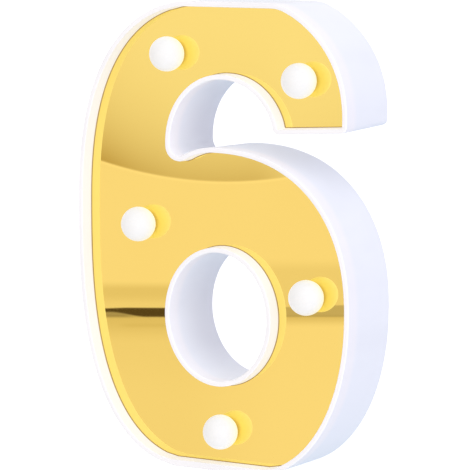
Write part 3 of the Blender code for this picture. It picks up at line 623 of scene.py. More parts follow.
@dataclass(frozen=True)
class VinylJacket(Finish):
    """A wire's soft vinyl jacket, with handling marks."""

    colour: Colour = (0.8, 0.8, 0.78)
    worn: Colour = (0.7, 0.7, 0.67)
    handling: Grain = Grain(520, 3, 0.6)
    skin: Grain = Grain(3000)
    skin_height: float = 0.00002

    def lay(self, tree: ShaderTree) -> None:
        """Builds the finish.

        Args:
            tree: An empty tree.
        """
        where = tree.coordinates()
        marks = tree.noise(where, self.handling)
        tree.principled({
            "Base Color": tree.mix(marks.step(0.4, 0.75), self.colour, self.worn),
            "Roughness": 0.45 + (marks - 0.5) * 0.2,
            "Normal": tree.bump(tree.noise(where, self.skin), 0.3, self.skin_height),
        })


@dataclass(frozen=True)
class BandedLacquer(Finish):
    """A resistor's tan lacquer with four generic colour bands along X.

    Attributes:
        middle: The X of its middle, in millimetres.
        bands: Each band's place beside the middle, and its colour.
        band_half: Half of what a band is wide, at its foot and at full colour.
    """

    middle: float = 0.0
    colour: Colour = (0.62, 0.42, 0.22)
    dripped: Colour = (0.55, 0.36, 0.18)
    bands: tuple[tuple[float, Colour], ...] = (
        (-2.0, (0.45, 0.05, 0.02)), (-1.0, (0.1, 0.05, 0.03)),
        (0.0, (0.5, 0.2, 0.02)), (1.8, (0.6, 0.42, 0.1)))
    band_half: Pair = (0.3, 0.24)
    drips: Grain = Grain(900, 3, 0.6)
    drip_height: float = 0.00004

    def lay(self, tree: ShaderTree) -> None:
        """Builds the finish.

        Args:
            tree: An empty tree.
        """
        where = tree.coordinates()
        along, _, _ = tree.axes(where)
        drip = tree.noise(where, self.drips)
        paint = tree.mix(drip, self.colour, self.dripped)
        foot, full = (half * MM for half in self.band_half)
        for place, colour in self.bands:
            centre = (self.middle + place) * MM
            band = along.step(centre - foot, centre - full) * (1 - along.step(centre + full, centre + foot))
            paint = tree.mix(band, paint, colour)
        tree.principled({
            "Base Color": paint,
            "Roughness": 0.28 + drip * 0.15,
            "Normal": tree.bump(drip, 0.4, self.drip_height),
        })


# The shell's finish carries a painted glow behind the rim; the recess walls' finish a painted glow and
# painted shade.
MOULDING = ShellMoulding("white_moulding_finish")
LIT_MOULDING = LitMoulding("lit_moulding_finish")
COVER_TEXTURE = MouldedPlastic(
    "white_cover_finish", colour=(0.93, 0.91, 0.895), shade=(0.9, 0.88, 0.865), roughness=0.48,
    roughness_spread=0.12, grain_scale=4200.0, grain_height=0.00006)
HOLDER = MouldedPlastic(
    "holder_white_finish", colour=(0.82, 0.82, 0.79), shade=(0.77, 0.77, 0.74), roughness=0.5)
SWITCH_BLACK = MouldedPlastic(
    "switch_black_finish", colour=(0.028, 0.028, 0.032), shade=(0.04, 0.04, 0.043), roughness=0.42,
    grain_height=0.00003)
STEEL = PlatedSteel("plated_steel_finish")
SPRING_STEEL = PlatedSteel("spring_steel_finish", colour=(0.66, 0.65, 0.62), roughness=0.28, lines=(1, 1, 1))
LAMP = LampEpoxy("lamp_epoxy_finish")
TWIN_WIRE = VinylJacket("twin_wire_finish")
RED_WIRE = VinylJacket("red_wire_finish", colour=(0.55, 0.025, 0.02), worn=(0.45, 0.03, 0.025))
BLACK_WIRE = VinylJacket("black_wire_finish", colour=(0.025, 0.025, 0.027), worn=(0.045, 0.045, 0.047))
MIRROR = GoldMirror("gold_mirror_finish")
DIFFUSER = LitDiffuser("milky_diffuser_finish")


# The digit's outline


@dataclass(frozen=True)
class Run:
    """One quarter of a superellipse of the outline, in shares of the digit's width and height.

    Attributes:
        centre: Its centre (x, z): x from the middle, z from the foot.
        reach: How far it goes sideways (x) and up or down (z).
        power: How square it is; 2 is an ellipse.
        stretches: How many straight stretches it has at a fineness of 1.
    """

    centre: Pair
    reach: Pair
    power: float
    stretches: int

    def points(self, size: Pair, start: float, end: float, fineness: int) -> Loop:
        """Points between two shares of the way from its side to its crown.

        Args:
            size: The digit's width and height.
            start: The first share.
            end: The last share.
            fineness: What its stretches are multiplied by.

        Returns:
            Flat points (x, z).
        """
        found = []
        steps = self.stretches * fineness
        for step in range(steps + 1):
            turn = (start + (end - start) * step / steps) * QUARTER
            across = max(math.cos(turn), 0) ** (2 / self.power)
            rise = max(math.sin(turn), 0) ** (2 / self.power)
            found.append(Vector((
                size[0] * (self.centre[0] + (self.reach[0] - self.centre[0]) * across),
                size[1] * (self.centre[1] + (self.reach[1] - self.centre[1]) * rise),
            )))
        return found

    def share_at(self, level: float) -> float:
        """How far along it reaches a level, given as a share of the height."""
        rise = (level - self.centre[1]) / (self.reach[1] - self.centre[1])
        return math.asin(min(rise, 1) ** (self.power / 2)) / QUARTER


def inset(points: Loop, distance: float) -> Loop:
    """The closed loop moved sideways to its left, mitred at its corners.

    Args:
        points: The loop.
        distance: How far it moves; to its right where it is negative.

    Returns:
        The moved loop, point by point.
    """
    shifted = []
    for before, here, after in zip(points[-1:] + points[:-1], points, points[1:] + points[:1]):
        first = (here - before).normalized()
        second = (after - here).normalized()
        left = Vector((-first.y - second.y, first.x + second.x))
        shifted.append(here + distance * left / (1 + first.dot(second)))
    return shifted


def fillet(points: Loop, corners: Sequence[int], radius: float, steps: int) -> Loop:
    """The loop with each named corner turned into an arc.

    Args:
        points: The loop.
        corners: The numbers of the corners.
        radius: The arc's radius.
        steps: Stretches of each arc.

    Returns:
        The rounded loop.
    """
    rounded = []
    for index, here in enumerate(points):
        if index not in corners:
            rounded.append(here)
            continue
        back = (points[index - 1] - here).normalized()
        ahead = (points[(index + 1) % len(points)] - here).normalized()
        half = back.angle(ahead) / 2
        reach = radius / math.tan(half)
        centre = here + (back + ahead).normalized() * radius / math.sin(half)
        start = here + back * reach - centre
        sweep = start.angle_signed(here + ahead * reach - centre)
        for step in range(steps + 1):
            spoke = start.copy()
            spoke.rotate(Matrix.Rotation(-sweep * step / steps, 2))
            rounded.append(centre + spoke)
    return rounded


def cleared(points: Loop, corners: Sequence[Vector], room: float) -> Loop:
    """The loop without the points that lie too near to one of its corners for a fillet there."""
    return [point for point in points
            if point in corners or min((point - corner).length for corner in corners) > room]


@dataclass(frozen=True)
class Digit:
    """The six: its size, its outline and where things sit on its face.

    Attributes:
        depth: The body's depth, without the globes.
        front_y: The Y of the rim's front edge.
        draft: How much the walls draw in from the rim to the back.
        terminal_round: The rounding of the terminal's two corners.
        least_round: What is left of it deep in the material.
        flat_round: The rounding between the flat foot or top and the runs beside it.
        kink_room: Points nearer than this to such a kink give way to its rounding.
        corner_room: The same at the terminal's corners.
        foot_rim: How much thicker the rim is along the foot, on its inside.
        foot_rim_depth: Down to which depth it is.
        foot_rim_start: From which distance into the material it counts.
        fineness: What the stretches of the outline's runs are multiplied by.
        terminal_left: The level of the terminal's left corner, in shares of the height.
        terminal_right: The level of its right corner.
        notch_share: Where along the bowl's upper left the notch takes over.
    """

    width: float = 148.4
    height: float = 220.0
    depth: float = 41.2
    front_y: float = -16.9
    draft: float = 0.9
    terminal_round: float = 3.0
    terminal_steps: int = 8
    least_round: float = 0.2
    flat_round: float = 20.0
    flat_steps: int = 10
    kink_room: float = 8.0
    corner_room: float = 3.6
    foot_rim: float = 0.9
    foot_rim_depth: float = 9.0
    foot_rim_start: float = 1.0
    fineness: int = 4
    hole_centre: Pair = (0.0256, 0.3318)
    hole_size: Pair = (53.4, 60.8)
    hole_steps: int = 144
    terminal_left: float = 0.727
    terminal_right: float = 0.7364
    notch_share: float = 0.78
    globes: tuple[Pair, ...] = (
        (-0.163, 0.8874), (0.319, 0.8413), (-0.2726, 0.5191), (0.3469, 0.3893), (0.0348, 0.0849))
    screws: tuple[Pair, ...] = (
        (-0.337, 0.791), (0.162, 0.923), (0.384, 0.775), (0.0, 0.55),
        (0.384, 0.509), (0.371, 0.15), (-0.364, 0.227), (-0.135, 0.073))
    foot_right: Run = Run((0.136, 0.355), (0.5, -0.002), 2.1, 9)
    bowl_right: Run = Run((0.011, 0.355), (0.5, 0.693), 2.28, 14)
    bowl_left: Run = Run((0.011, 0.355), (-0.326, 0.693), 2.0, 3)
    notch_foot: Run = Run((-0.1146, 0.6955), (-0.1516, 0.6705), 2.2, 3)
    notch_left: Run = Run((0.0384, 0.7), (-0.1516, 0.8373), 2.0, 6)
    notch_right: Run = Run((0.0384, 0.7), (0.2358, 0.8373), 2.05, 6)
    hook_low: Run = Run((0.006, 0.7636), (0.4906, 0.4977), 2.18, 1)
    hook: Run = Run((0.006, 0.7636), (0.4906, 1.0295), 2.18, 8)
    shoulder: Run = Run((-0.002, 0.5455), (-0.5, 1.0055), 2.48, 12)
    foot_left: Run = Run((-0.0296, 0.5455), (-0.5, -0.0045), 2.62, 12)

    def place(self, shares: Pair) -> Pair:
        """A place on the face, (x, z), from its shares."""
        return self.width * shares[0], self.height * shares[1]

    def outline(self) -> tuple[Loop, list[int]]:
        """The digit's outline at the front.

        Returns:
            The loop, anticlockwise, and the numbers of the terminal's two corners in it.
        """
        size = (self.width, self.height)
        fine = self.fineness
        runs = [
            self.foot_right.points(size, self.foot_right.share_at(0), 0, fine),
            self.bowl_right.points(size, 0, 1, fine)[1:],
            self.bowl_left.points(size, 1, self.notch_share, fine)[1:],
            self.notch_foot.points(size, 1, 0, fine),
            self.notch_left.points(size, 0, 1, fine),
            self.notch_right.points(size, 1, self.notch_right.share_at(self.terminal_left), fine)[1:],
            self.hook_low.points(size, self.hook_low.share_at(self.terminal_right), 0, fine),
            self.hook.points(size, 0, self.hook.share_at(1), fine)[1:],
            self.shoulder.points(size, self.shoulder.share_at(1), 0, fine),
            self.foot_left.points(size, 0, self.foot_left.share_at(0), fine)[1:],
        ]
        points = [point for run in runs for point in run]
        terminal = runs[5][-1], runs[6][0]
        kinks = runs[0][0], runs[7][-1], runs[8][0], runs[9][-1]
        points = cleared(cleared(points, kinks, self.kink_room), terminal, self.corner_room)
        points = fillet(points, [points.index(kink) for kink in kinks], self.flat_round, self.flat_steps)
        return points, [points.index(corner) for corner in terminal]

    def hole(self) -> Loop:
        """The round hole's outline at the front.

        Returns:
            The loop, anticlockwise.
        """
        x, z = self.place(self.hole_centre)
        turns = [FULL_TURN * step / self.hole_steps for step in range(self.hole_steps)]
        return [Vector((x + self.hole_size[0] / 2 * math.cos(turn),
                        z + self.hole_size[1] / 2 * math.sin(turn))) for turn in turns]

    def _kept_high(self, points: Loop, drawn: float) -> Loop:
        """Stretches a drafted loop so that the foot and the top stay where they are.

        Args:
            points: The loop.
            drawn: How far the draft has drawn it in.

        Returns:
            The stretched loop.
        """
        middle = self.height / 2
        stretch = self.height / (self.height - 2 * drawn)
        return [Vector((point.x, middle + (point.y - middle) * stretch)) for point in points]

    def section(self, station: Station) -> tuple[Loop, Loop]:
        """The outer and the hole loop at a station.

        Args:
            station: The depth, and how far the loops lie inside the material.

        Returns:
            Two flat loops, which have the same number of points at every station.
        """
        depth, distance = station
        drawn = self.draft * min(max(depth / self.depth, 0), 1)
        outer, corners = self.outline()
        outer = inset(self._kept_high(inset(outer, drawn), drawn), distance)
        rounding = max(self.terminal_round - distance, self.least_round)
        outer = fillet(outer, corners, rounding, self.terminal_steps)
        if depth < self.foot_rim_depth and distance > self.foot_rim_start:
            lowest = distance + self.foot_rim
            outer = [Vector((point.x, max(point.y, lowest))) for point in outer]
        hole = self._kept_high(inset(self.hole(), -drawn), drawn)
        return outer, inset(hole, -distance)

    def at(self, point: Vector | Pair, depth: float) -> Vector:
        """A flat point stood up at a depth, in metres."""
        return Vector((point[0], self.front_y + depth, point[1])) * MM


DIGIT = Digit()


# Mesh work


def loft(bm: bmesh.types.BMesh, loops: Sequence[Loop]) -> tuple[Edges, Edges]:
    """Skins a stack of equal loops, each extruded from the one before.

    Args:
        bm: The mesh to add to.
        loops: Closed loops of points in metres.

    Returns:
        The edges of the first and of the last loop.
    """
    verts = [bm.verts.new(point) for point in loops[0]]
    edges = [bm.edges.new((verts[i - 1], verts[i])) for i in range(len(verts))]
    first = list(edges)
    for loop in loops[1:]:
        made = bmesh.ops.extrude_edge_only(bm, edges=edges)["geom"]
        fresh = {item for item in made if isinstance(item, bmesh.types.BMVert)}
        following = []
        for vert, point in zip(verts, loop):
            copy = next(e.other_vert(vert) for e in vert.link_edges if e.other_vert(vert) in fresh)
            copy.co = point
            following.append(copy)
        verts = following
        edges = [bm.edges.get((verts[i - 1], verts[i])) for i in range(len(verts))]
    return first, edges


def circle(centre: Pair, radius: float, sides: int) -> Loop:
    """A flat round loop."""
    turns = [FULL_TURN * step / sides for step in range(sides)]
    return [Vector((centre[0] + radius * math.cos(t), centre[1] + radius * math.sin(t))) for t in turns]


def arc(centre: Pair, radius: float, start: float, end: float, steps: int) -> list[Station]:
    """Points round a centre between two angles in degrees, both ends in.

    Args:
        centre: The centre, as (first, second) of the points' own plane.
        radius: The radius.
        start: The first angle.
        end: The last angle.
        steps: How many stretches.

    Returns:
        The points.
    """
    turns = [math.radians(start + (end - start) * step / steps) for step in range(steps + 1)]
    return [(centre[0] + radius * math.cos(t), centre[1] + radius * math.sin(t)) for t in turns]


def ring_skins(bm: bmesh.types.BMesh, digit: Digit, stations: Sequence[Station]) -> tuple[Edges, Edges]:
    """Lofts the digit's outline and its hole through the same stations.

    Args:
        bm: The mesh to add to.
        digit: The digit.
        stations: Depths and distances into the material.

    Returns:
        The edges at the first station and those at the last, outline and hole together.
    """
    pairs = [(depth, digit.section((depth, distance))) for depth, distance in stations]
    first: Edges = []
    last: Edges = []
    for which in (0, 1):
        start, end = loft(bm, [[digit.at(p, depth) for p in loops[which]] for depth, loops in pairs])
        first += start
        last += end
    return first, last


def round_skin(bm: bmesh.types.BMesh, digit: Digit, centre: Pair, steps: Sequence[Station],
               sides: int) -> tuple[Edges, Edges]:
    """Lofts a round feature through (depth, radius) steps and returns its two end rings."""
    return loft(bm, [[digit.at(p, depth) for p in circle(centre, radius, sides)] for depth, radius in steps])


def skin(bm: bmesh.types.BMesh, digit: Digit, layers: Sequence[Layer]) -> tuple[Edges, Edges]:
    """Lofts flat loops stood up at their depths and returns the two end rims."""
    return loft(bm, [[digit.at(p, depth) for p in loop] for depth, loop in layers])


def lip(loop: Loop, depth: float, radius: float, steps: int = 3) -> list[Layer]:
    """The rounded mouth of a recess, from a face into the material.

    Args:
        loop: The recess's own outline, anticlockwise.
        depth: The face's depth, from which the recess goes forward.
        radius: The mouth's rounding.
        steps: Stretches of the rounding.

    Returns:
        Layers, the first of which lies in the face, a little outside the rounding.
    """
    curve = arc((depth - radius, radius), radius, 0, -90, steps)
    return [(depth, inset(loop, -1.5 * radius))] + [(d, inset(loop, -grown)) for d, grown in curve]


def filled(bm: bmesh.types.BMesh, *rims: Edges) -> None:
    """Closes each face of a solid between its outline and the openings in it."""
    for rim in rims:
        bmesh.ops.triangle_fill(bm, edges=rim, use_beauty=True)


def panel(centre: Pair, size: Pair, radius: float, steps: int = 4) -> Loop:
    """A flat rectangle with round corners.

    Args:
        centre: Its centre.
        size: Its width and height.
        radius: The corners' rounding.
        steps: Stretches of each corner.

    Returns:
        The loop, anticlockwise.
    """
    x, z, half_width, half_height = *centre, size[0] / 2, size[1] / 2
    corners = [Vector((x - half_width, z - half_height)), Vector((x + half_width, z - half_height)),
               Vector((x + half_width, z + half_height)), Vector((x - half_width, z + half_height))]
    return fillet(corners, range(len(corners)), radius, steps)


def block(low: Sequence[float], high: Sequence[float], round_edge: float = 0.0) -> bmesh.types.BMesh:
    """A box between two corners in metres, its edges rounded.

    Args:
        low: The lowest corner.
        high: The highest corner.
        round_edge: The rounding, in metres.

    Returns:
        The solid.
    """
    bm = bmesh.new()
    bmesh.ops.create_cube(bm, size=1)
    bmesh.ops.scale(bm, vec=[b - a for a, b in zip(low, high)], verts=bm.verts)
    bmesh.ops.translate(bm, vec=[(a + b) / 2 for a, b in zip(low, high)], verts=bm.verts)
    if round_edge:
        bmesh.ops.bevel(bm, geom=bm.edges[:], offset=round_edge, offset_type="OFFSET", affect="EDGES",
                        segments=3, profile=0.5, material=-1)
    return bm


def gathered(parts: Sequence[bmesh.types.BMesh]) -> bmesh.types.BMesh:
    """Several solids in one mesh.

    Args:
        parts: The solids, which are freed.

    Returns:
        The mesh.
    """
    whole = bmesh.new()
    for part in parts:
        mesh = bpy.data.meshes.new("part")
        part.to_mesh(mesh)
        part.free()
        whole.from_mesh(mesh)
        bpy.data.meshes.remove(mesh)
    return whole


def carved(solid: bmesh.types.BMesh, tool: bmesh.types.BMesh) -> bmesh.types.BMesh:
    """Cuts a shape out of a solid.

    Args:
        solid: The solid, which is freed.
        tool: What is cut out of it, which is freed too.

    Returns:
        What is left.
    """
    holders = []
    for bm in (solid, tool):
        bmesh.ops.recalc_face_normals(bm, faces=bm.faces)
        mesh = bpy.data.meshes.new("carving")
        bm.to_mesh(mesh)
        bm.free()
        holders.append(bpy.data.objects.new("carving", mesh))
        bpy.context.scene.collection.objects.link(holders[-1])
    cut = holders[0].modifiers.new("cut", "BOOLEAN")
    cut.operation = "DIFFERENCE"
    cut.solver = "EXACT"
    cut.object = holders[1]
    ready = holders[0].evaluated_get(bpy.context.evaluated_depsgraph_get())
    result = bmesh.new()
    result.from_mesh(ready.to_mesh())
    ready.to_mesh_clear()
    for holder in holders:
        mesh = holder.data
        bpy.data.objects.remove(holder)
        bpy.data.meshes.remove(mesh)
    return result


def node_box(node: str) -> tuple[Vector, Vector]:
    """The lowest and highest corner of a CAD node, in millimetres."""
    low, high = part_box(node)
    return Vector(low) / MM, Vector(high) / MM


def turned(profile: Sequence[Pair], centre: Pair, front_y: float, sides: int) -> bmesh.types.BMesh:
    """Spins a profile round an axis that points out of the face.

    Args:
        profile: (radius, depth) points, closed on itself where it stays off the axis.
        centre: The axis, (x, z).
        front_y: The Y of depth 0.
        sides: Steps round the axis.

    Returns:
        The solid, in metres.
    """
    bm = bmesh.new()
    verts = [bm.verts.new((radius, front_y + depth, 0)) for radius, depth in profile]
    edges = [bm.edges.new(pair) for pair in zip(verts[:-1], verts[1:])]
    if min(profile[0][0], profile[-1][0]) > 0:
        edges.append(bm.edges.new((verts[-1], verts[0])))
    bmesh.ops.spin(
        bm, geom=verts + edges, cent=(0, 0, 0), axis=(0, 1, 0), dvec=(0, 0, 0),
        angle=FULL_TURN, steps=sides, use_merge=True, use_duplicate=False,
    )
    bmesh.ops.remove_doubles(bm, verts=bm.verts, dist=MERGE_DISTANCE)
    bmesh.ops.translate(bm, vec=(centre[0], 0, centre[1]), verts=bm.verts)
    bmesh.ops.scale(bm, vec=(MM, MM, MM), verts=bm.verts)
    return bm


def add_piece(bm: bmesh.types.BMesh, name: str, finish: Finish, replaced: Sequence[str],
              body: Body = Body.ROOT, limit: float = SMOOTH_LIMIT) -> bpy.types.Object:
    """Turns a mesh into a finished piece of the object.

    Args:
        bm: The mesh, in metres in the part's frame. It is freed.
        name: The piece's name.
        finish: What it is dressed in.
        replaced: The CAD nodes that it stands for.
        body: The body that it rides on.
        limit: Edges over this angle stay sharp.

    Returns:
        The piece.
    """
    bmesh.ops.recalc_face_normals(bm, faces=bm.faces)
    mesh = bpy.data.meshes.new(name)
    bm.to_mesh(mesh)
    bm.free()
    mesh.shade_smooth()
    mesh.set_sharp_from_angle(angle=limit)
    mesh.materials.append(finish.material())
    piece = bpy.data.objects.new(name, mesh)
    bpy.context.scene.collection.objects.link(piece)
    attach(piece, body.value)
    if replaced:
        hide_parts(*replaced)
    LOG.info("%s: %d faces", name, len(mesh.polygons))
    return piece


# The pieces


@dataclass
class Housing:
    """The white moulded tray with its thin rim, recessed web, ledge for the cover and screw bosses.

    Attributes:
        rim_draft: How much wider it is at the web.
        rim_foot: The depth at which its inside starts to widen.
        inner_round: The rounding of its inner edge.
        back_round: The rounding of the back edge.
        rebate_wall: What is left of it beside the cover.
        ledge: The depth of the ledge on which the cover lies.
        boss_top: The depth of the boss's end.
        support: How far beside a rounding its supporting loop lies.
        wall_limit: Below this share of facing the front a face counts as a wall.
    """

    digit: Digit = DIGIT
    rim_width: float = 2.3
    rim_draft: float = 0.1
    rim_foot: float = 1.0
    edge_round: float = 0.4
    inner_round: float = 0.25
    back_round: float = 1.2
    round_steps: int = 4
    back_steps: int = 6
    web_front: float = 8.8
    web_back: float = 10.8
    wall: float = 2.6
    rebate_wall: float = 1.6
    ledge: float = 38.9
    bore_radius: float = 5.25
    bore_sides: int = 48
    boss_radius: float = 3.2
    pilot_radius: float = 1.6
    boss_top: float = 36.9
    pilot_depth: float = 9.0
    boss_sides: int = 24
    support: float = 0.12
    wall_limit: float = 0.5

    def stations(self) -> list[Station]:
        """The way from the web's front, over the rim and round the back edge, to the web's back.

        Returns:
            Depths and distances into the material.
        """
        depth, edge, inner, back = self.digit.depth, self.edge_round, self.inner_round, self.back_round
        recess = [
            (self.web_front, self.rim_width + self.rim_draft),
            (self.rim_foot, self.rim_width + self.rim_draft / self.web_front),
        ]
        rim_inside = arc((inner, self.rim_width - inner), inner, 90, 180, self.round_steps)
        flat = [(0, self.rim_width - inner - self.support), (0, edge + self.support)]
        rim_outside = arc((edge, edge), edge, 180, 270, self.round_steps)
        walls = [(edge + 2 * self.support, 0), (depth - back - 2 * self.support, 0)]
        back_edge = arc((depth - back, back), back, -90, 0, self.back_steps)
        mouth = [(depth, self.rebate_wall - self.support), (depth - self.support, self.rebate_wall)]
        inside = [(self.ledge, self.rebate_wall), (self.ledge, self.wall), (self.web_back, self.wall)]
        return recess + rim_inside + flat + rim_outside + walls + back_edge + mouth + inside

    def build(self) -> bpy.types.Object:
        """Builds and dresses the housing.

        Returns:
            The shell.
        """
        bm = bmesh.new()
        front, back = ring_skins(bm, self.digit, self.stations())
        for shares in self.digit.globes:
            near, far = round_skin(bm, self.digit, self.digit.place(shares), (
                (self.web_front, self.bore_radius), (self.web_back, self.bore_radius)), self.bore_sides)
            front += near
            back += far
        for shares in self.digit.screws:
            near, far = round_skin(bm, self.digit, self.digit.place(shares), (
                (self.web_back, self.boss_radius), (self.boss_top, self.boss_radius),
                (self.boss_top, self.pilot_radius), (self.boss_top - self.pilot_depth, self.pilot_radius),
            ), self.boss_sides)
            back += near
            bmesh.ops.contextual_create(bm, geom=far)
        filled(bm, front, back)
        shell = add_piece(bm, "housing_shell", MOULDING, ("housing",))
        self._light_recess(shell)
        return shell

    def _light_recess(self, shell: bpy.types.Object) -> None:
        """Gives the recess's walls their own finish, with its painted glow and its painted shade beside the
        mirror.

        Args:
            shell: The housing's piece.
        """
        shell.data.materials.append(LIT_MOULDING.material())
        near, far = ((self.digit.front_y + depth) * MM for depth in (self.inner_round, self.web_front))
        for face in shell.data.polygons:
            if near < face.center.y < far and abs(face.normal.y) < self.wall_limit:
                face.material_index = 1


@dataclass
class MirrorFace:
    """The gold mirror sheet in the recess, with a hole for each neck.

    Attributes:
        distance: How far its edge lies inside the digit's outline.
        front: The depth of its face.
    """

    digit: Digit = DIGIT
    distance: float = 2.55
    front: float = 7.5
    thickness: float = 1.0
    chamfer: float = 0.12
    bore_radius: float = 5.25
    bore_sides: int = 64

    def build(self) -> bpy.types.Object:
        """Builds and dresses the sheet.

        Returns:
            The sheet.
        """
        bm = bmesh.new()
        back_depth = self.front + self.thickness
        edge = self.front + self.chamfer
        front, back = ring_skins(bm, self.digit, (
            (self.front, self.distance + self.chamfer), (edge, self.distance), (back_depth, self.distance)))
        for shares in self.digit.globes:
            near, far = round_skin(bm, self.digit, self.digit.place(shares), (
                (self.front, self.bore_radius + self.chamfer), (edge, self.bore_radius),
                (back_depth, self.bore_radius)), self.bore_sides)
            front += near
            back += far
        filled(bm, front, back)
        return add_piece(bm, "mirror_face", MIRROR, ("face_plate",))


@dataclass
class Globes:
    """Five hollow milky balls whose necks go through the face.

    Attributes:
        neck_end: The depth of the neck's end.
    """

    digit: Digit = DIGIT
    radius: float = 8.2
    depth: float = 0.8
    wall: float = 1.2
    neck_radius: float = 4.9
    neck_end: float = 10.8
    rings: int = 40
    sides: int = 96

    def _ball(self, radius: float, neck: float, rings: int) -> list[Pair]:
        """Half a ball's section, from its crown to its neck.

        Args:
            radius: The ball's radius.
            neck: The neck's radius.
            rings: Stretches.

        Returns:
            (radius, depth) points.
        """
        last = 180 - math.degrees(math.asin(neck / radius))
        points = arc((0, 0), radius, 0, last, rings)
        return [(abs(side), self.depth - along) for along, side in points]

    def build(self) -> list[bpy.types.Object]:
        """Builds and dresses the globes.

        Returns:
            The globes, in the digit's order.
        """
        bore = self.neck_radius - self.wall
        outside = self._ball(self.radius, self.neck_radius, self.rings)
        inside = self._ball(self.radius - self.wall, bore, self.rings // 2)
        profile = outside + [(self.neck_radius, self.neck_end), (bore, self.neck_end)] + inside[::-1]
        profile[0] = (0, profile[0][1])
        profile[-1] = (0, profile[-1][1])
        return [
            add_piece(
                turned(profile, self.digit.place(shares), self.digit.front_y, self.sides),
                f"globe_glass_{number}", DIFFUSER, (f"globe_{number}",))
            for number, shares in enumerate(self.digit.globes, 1)
        ]


@dataclass
class Bay:
    """The battery bay's shared sizes.

    Attributes:
        centre: Its centre, (x, z).
        floor: The depth of its floor, counted from the front.
        front: The depth of the well's outside.
        ledge: The depth of the ledge under the door.
        gap: The room round the door, and round what moves in a pocket.
        tab_spacing: From one hinge tab's middle to the other's.
        tab_reach: How far it reaches under the cover.
        wire_way: The width and depth of a wire's way through the wall.
        inside_round: The rounding of the well's inner corners.
        well_round: The rounding of its outer corners.
    """

    centre: Pair = (-47.785, 113.96)
    width: float = 31.0
    height: float = 57.7
    floor: float = 23.8
    front: float = 22.2
    wall: float = 1.8
    ledge: float = 38.9
    door_size: Pair = (32.4, 59.1)
    gap: float = 0.3
    tab_spacing: float = 26.6
    tab_width: float = 3.2
    tab_thickness: float = 1.2
    tab_reach: float = 2.3
    wire_way: float = 3.2
    opening_round: float = 0.8
    inside_round: float = 0.6
    well_round: float = 1.2

    @property
    def bottom(self) -> float:
        """The Z of its lower end."""
        return self.centre[1] - self.height / 2

    @property
    def door_bottom(self) -> float:
        """The Z of the door's lower edge."""
        return self.centre[1] - self.door_size[1] / 2

    @property
    def door_top(self) -> float:
        """The Z of the door's upper edge."""
        return self.centre[1] + self.door_size[1] / 2


BAY = Bay()


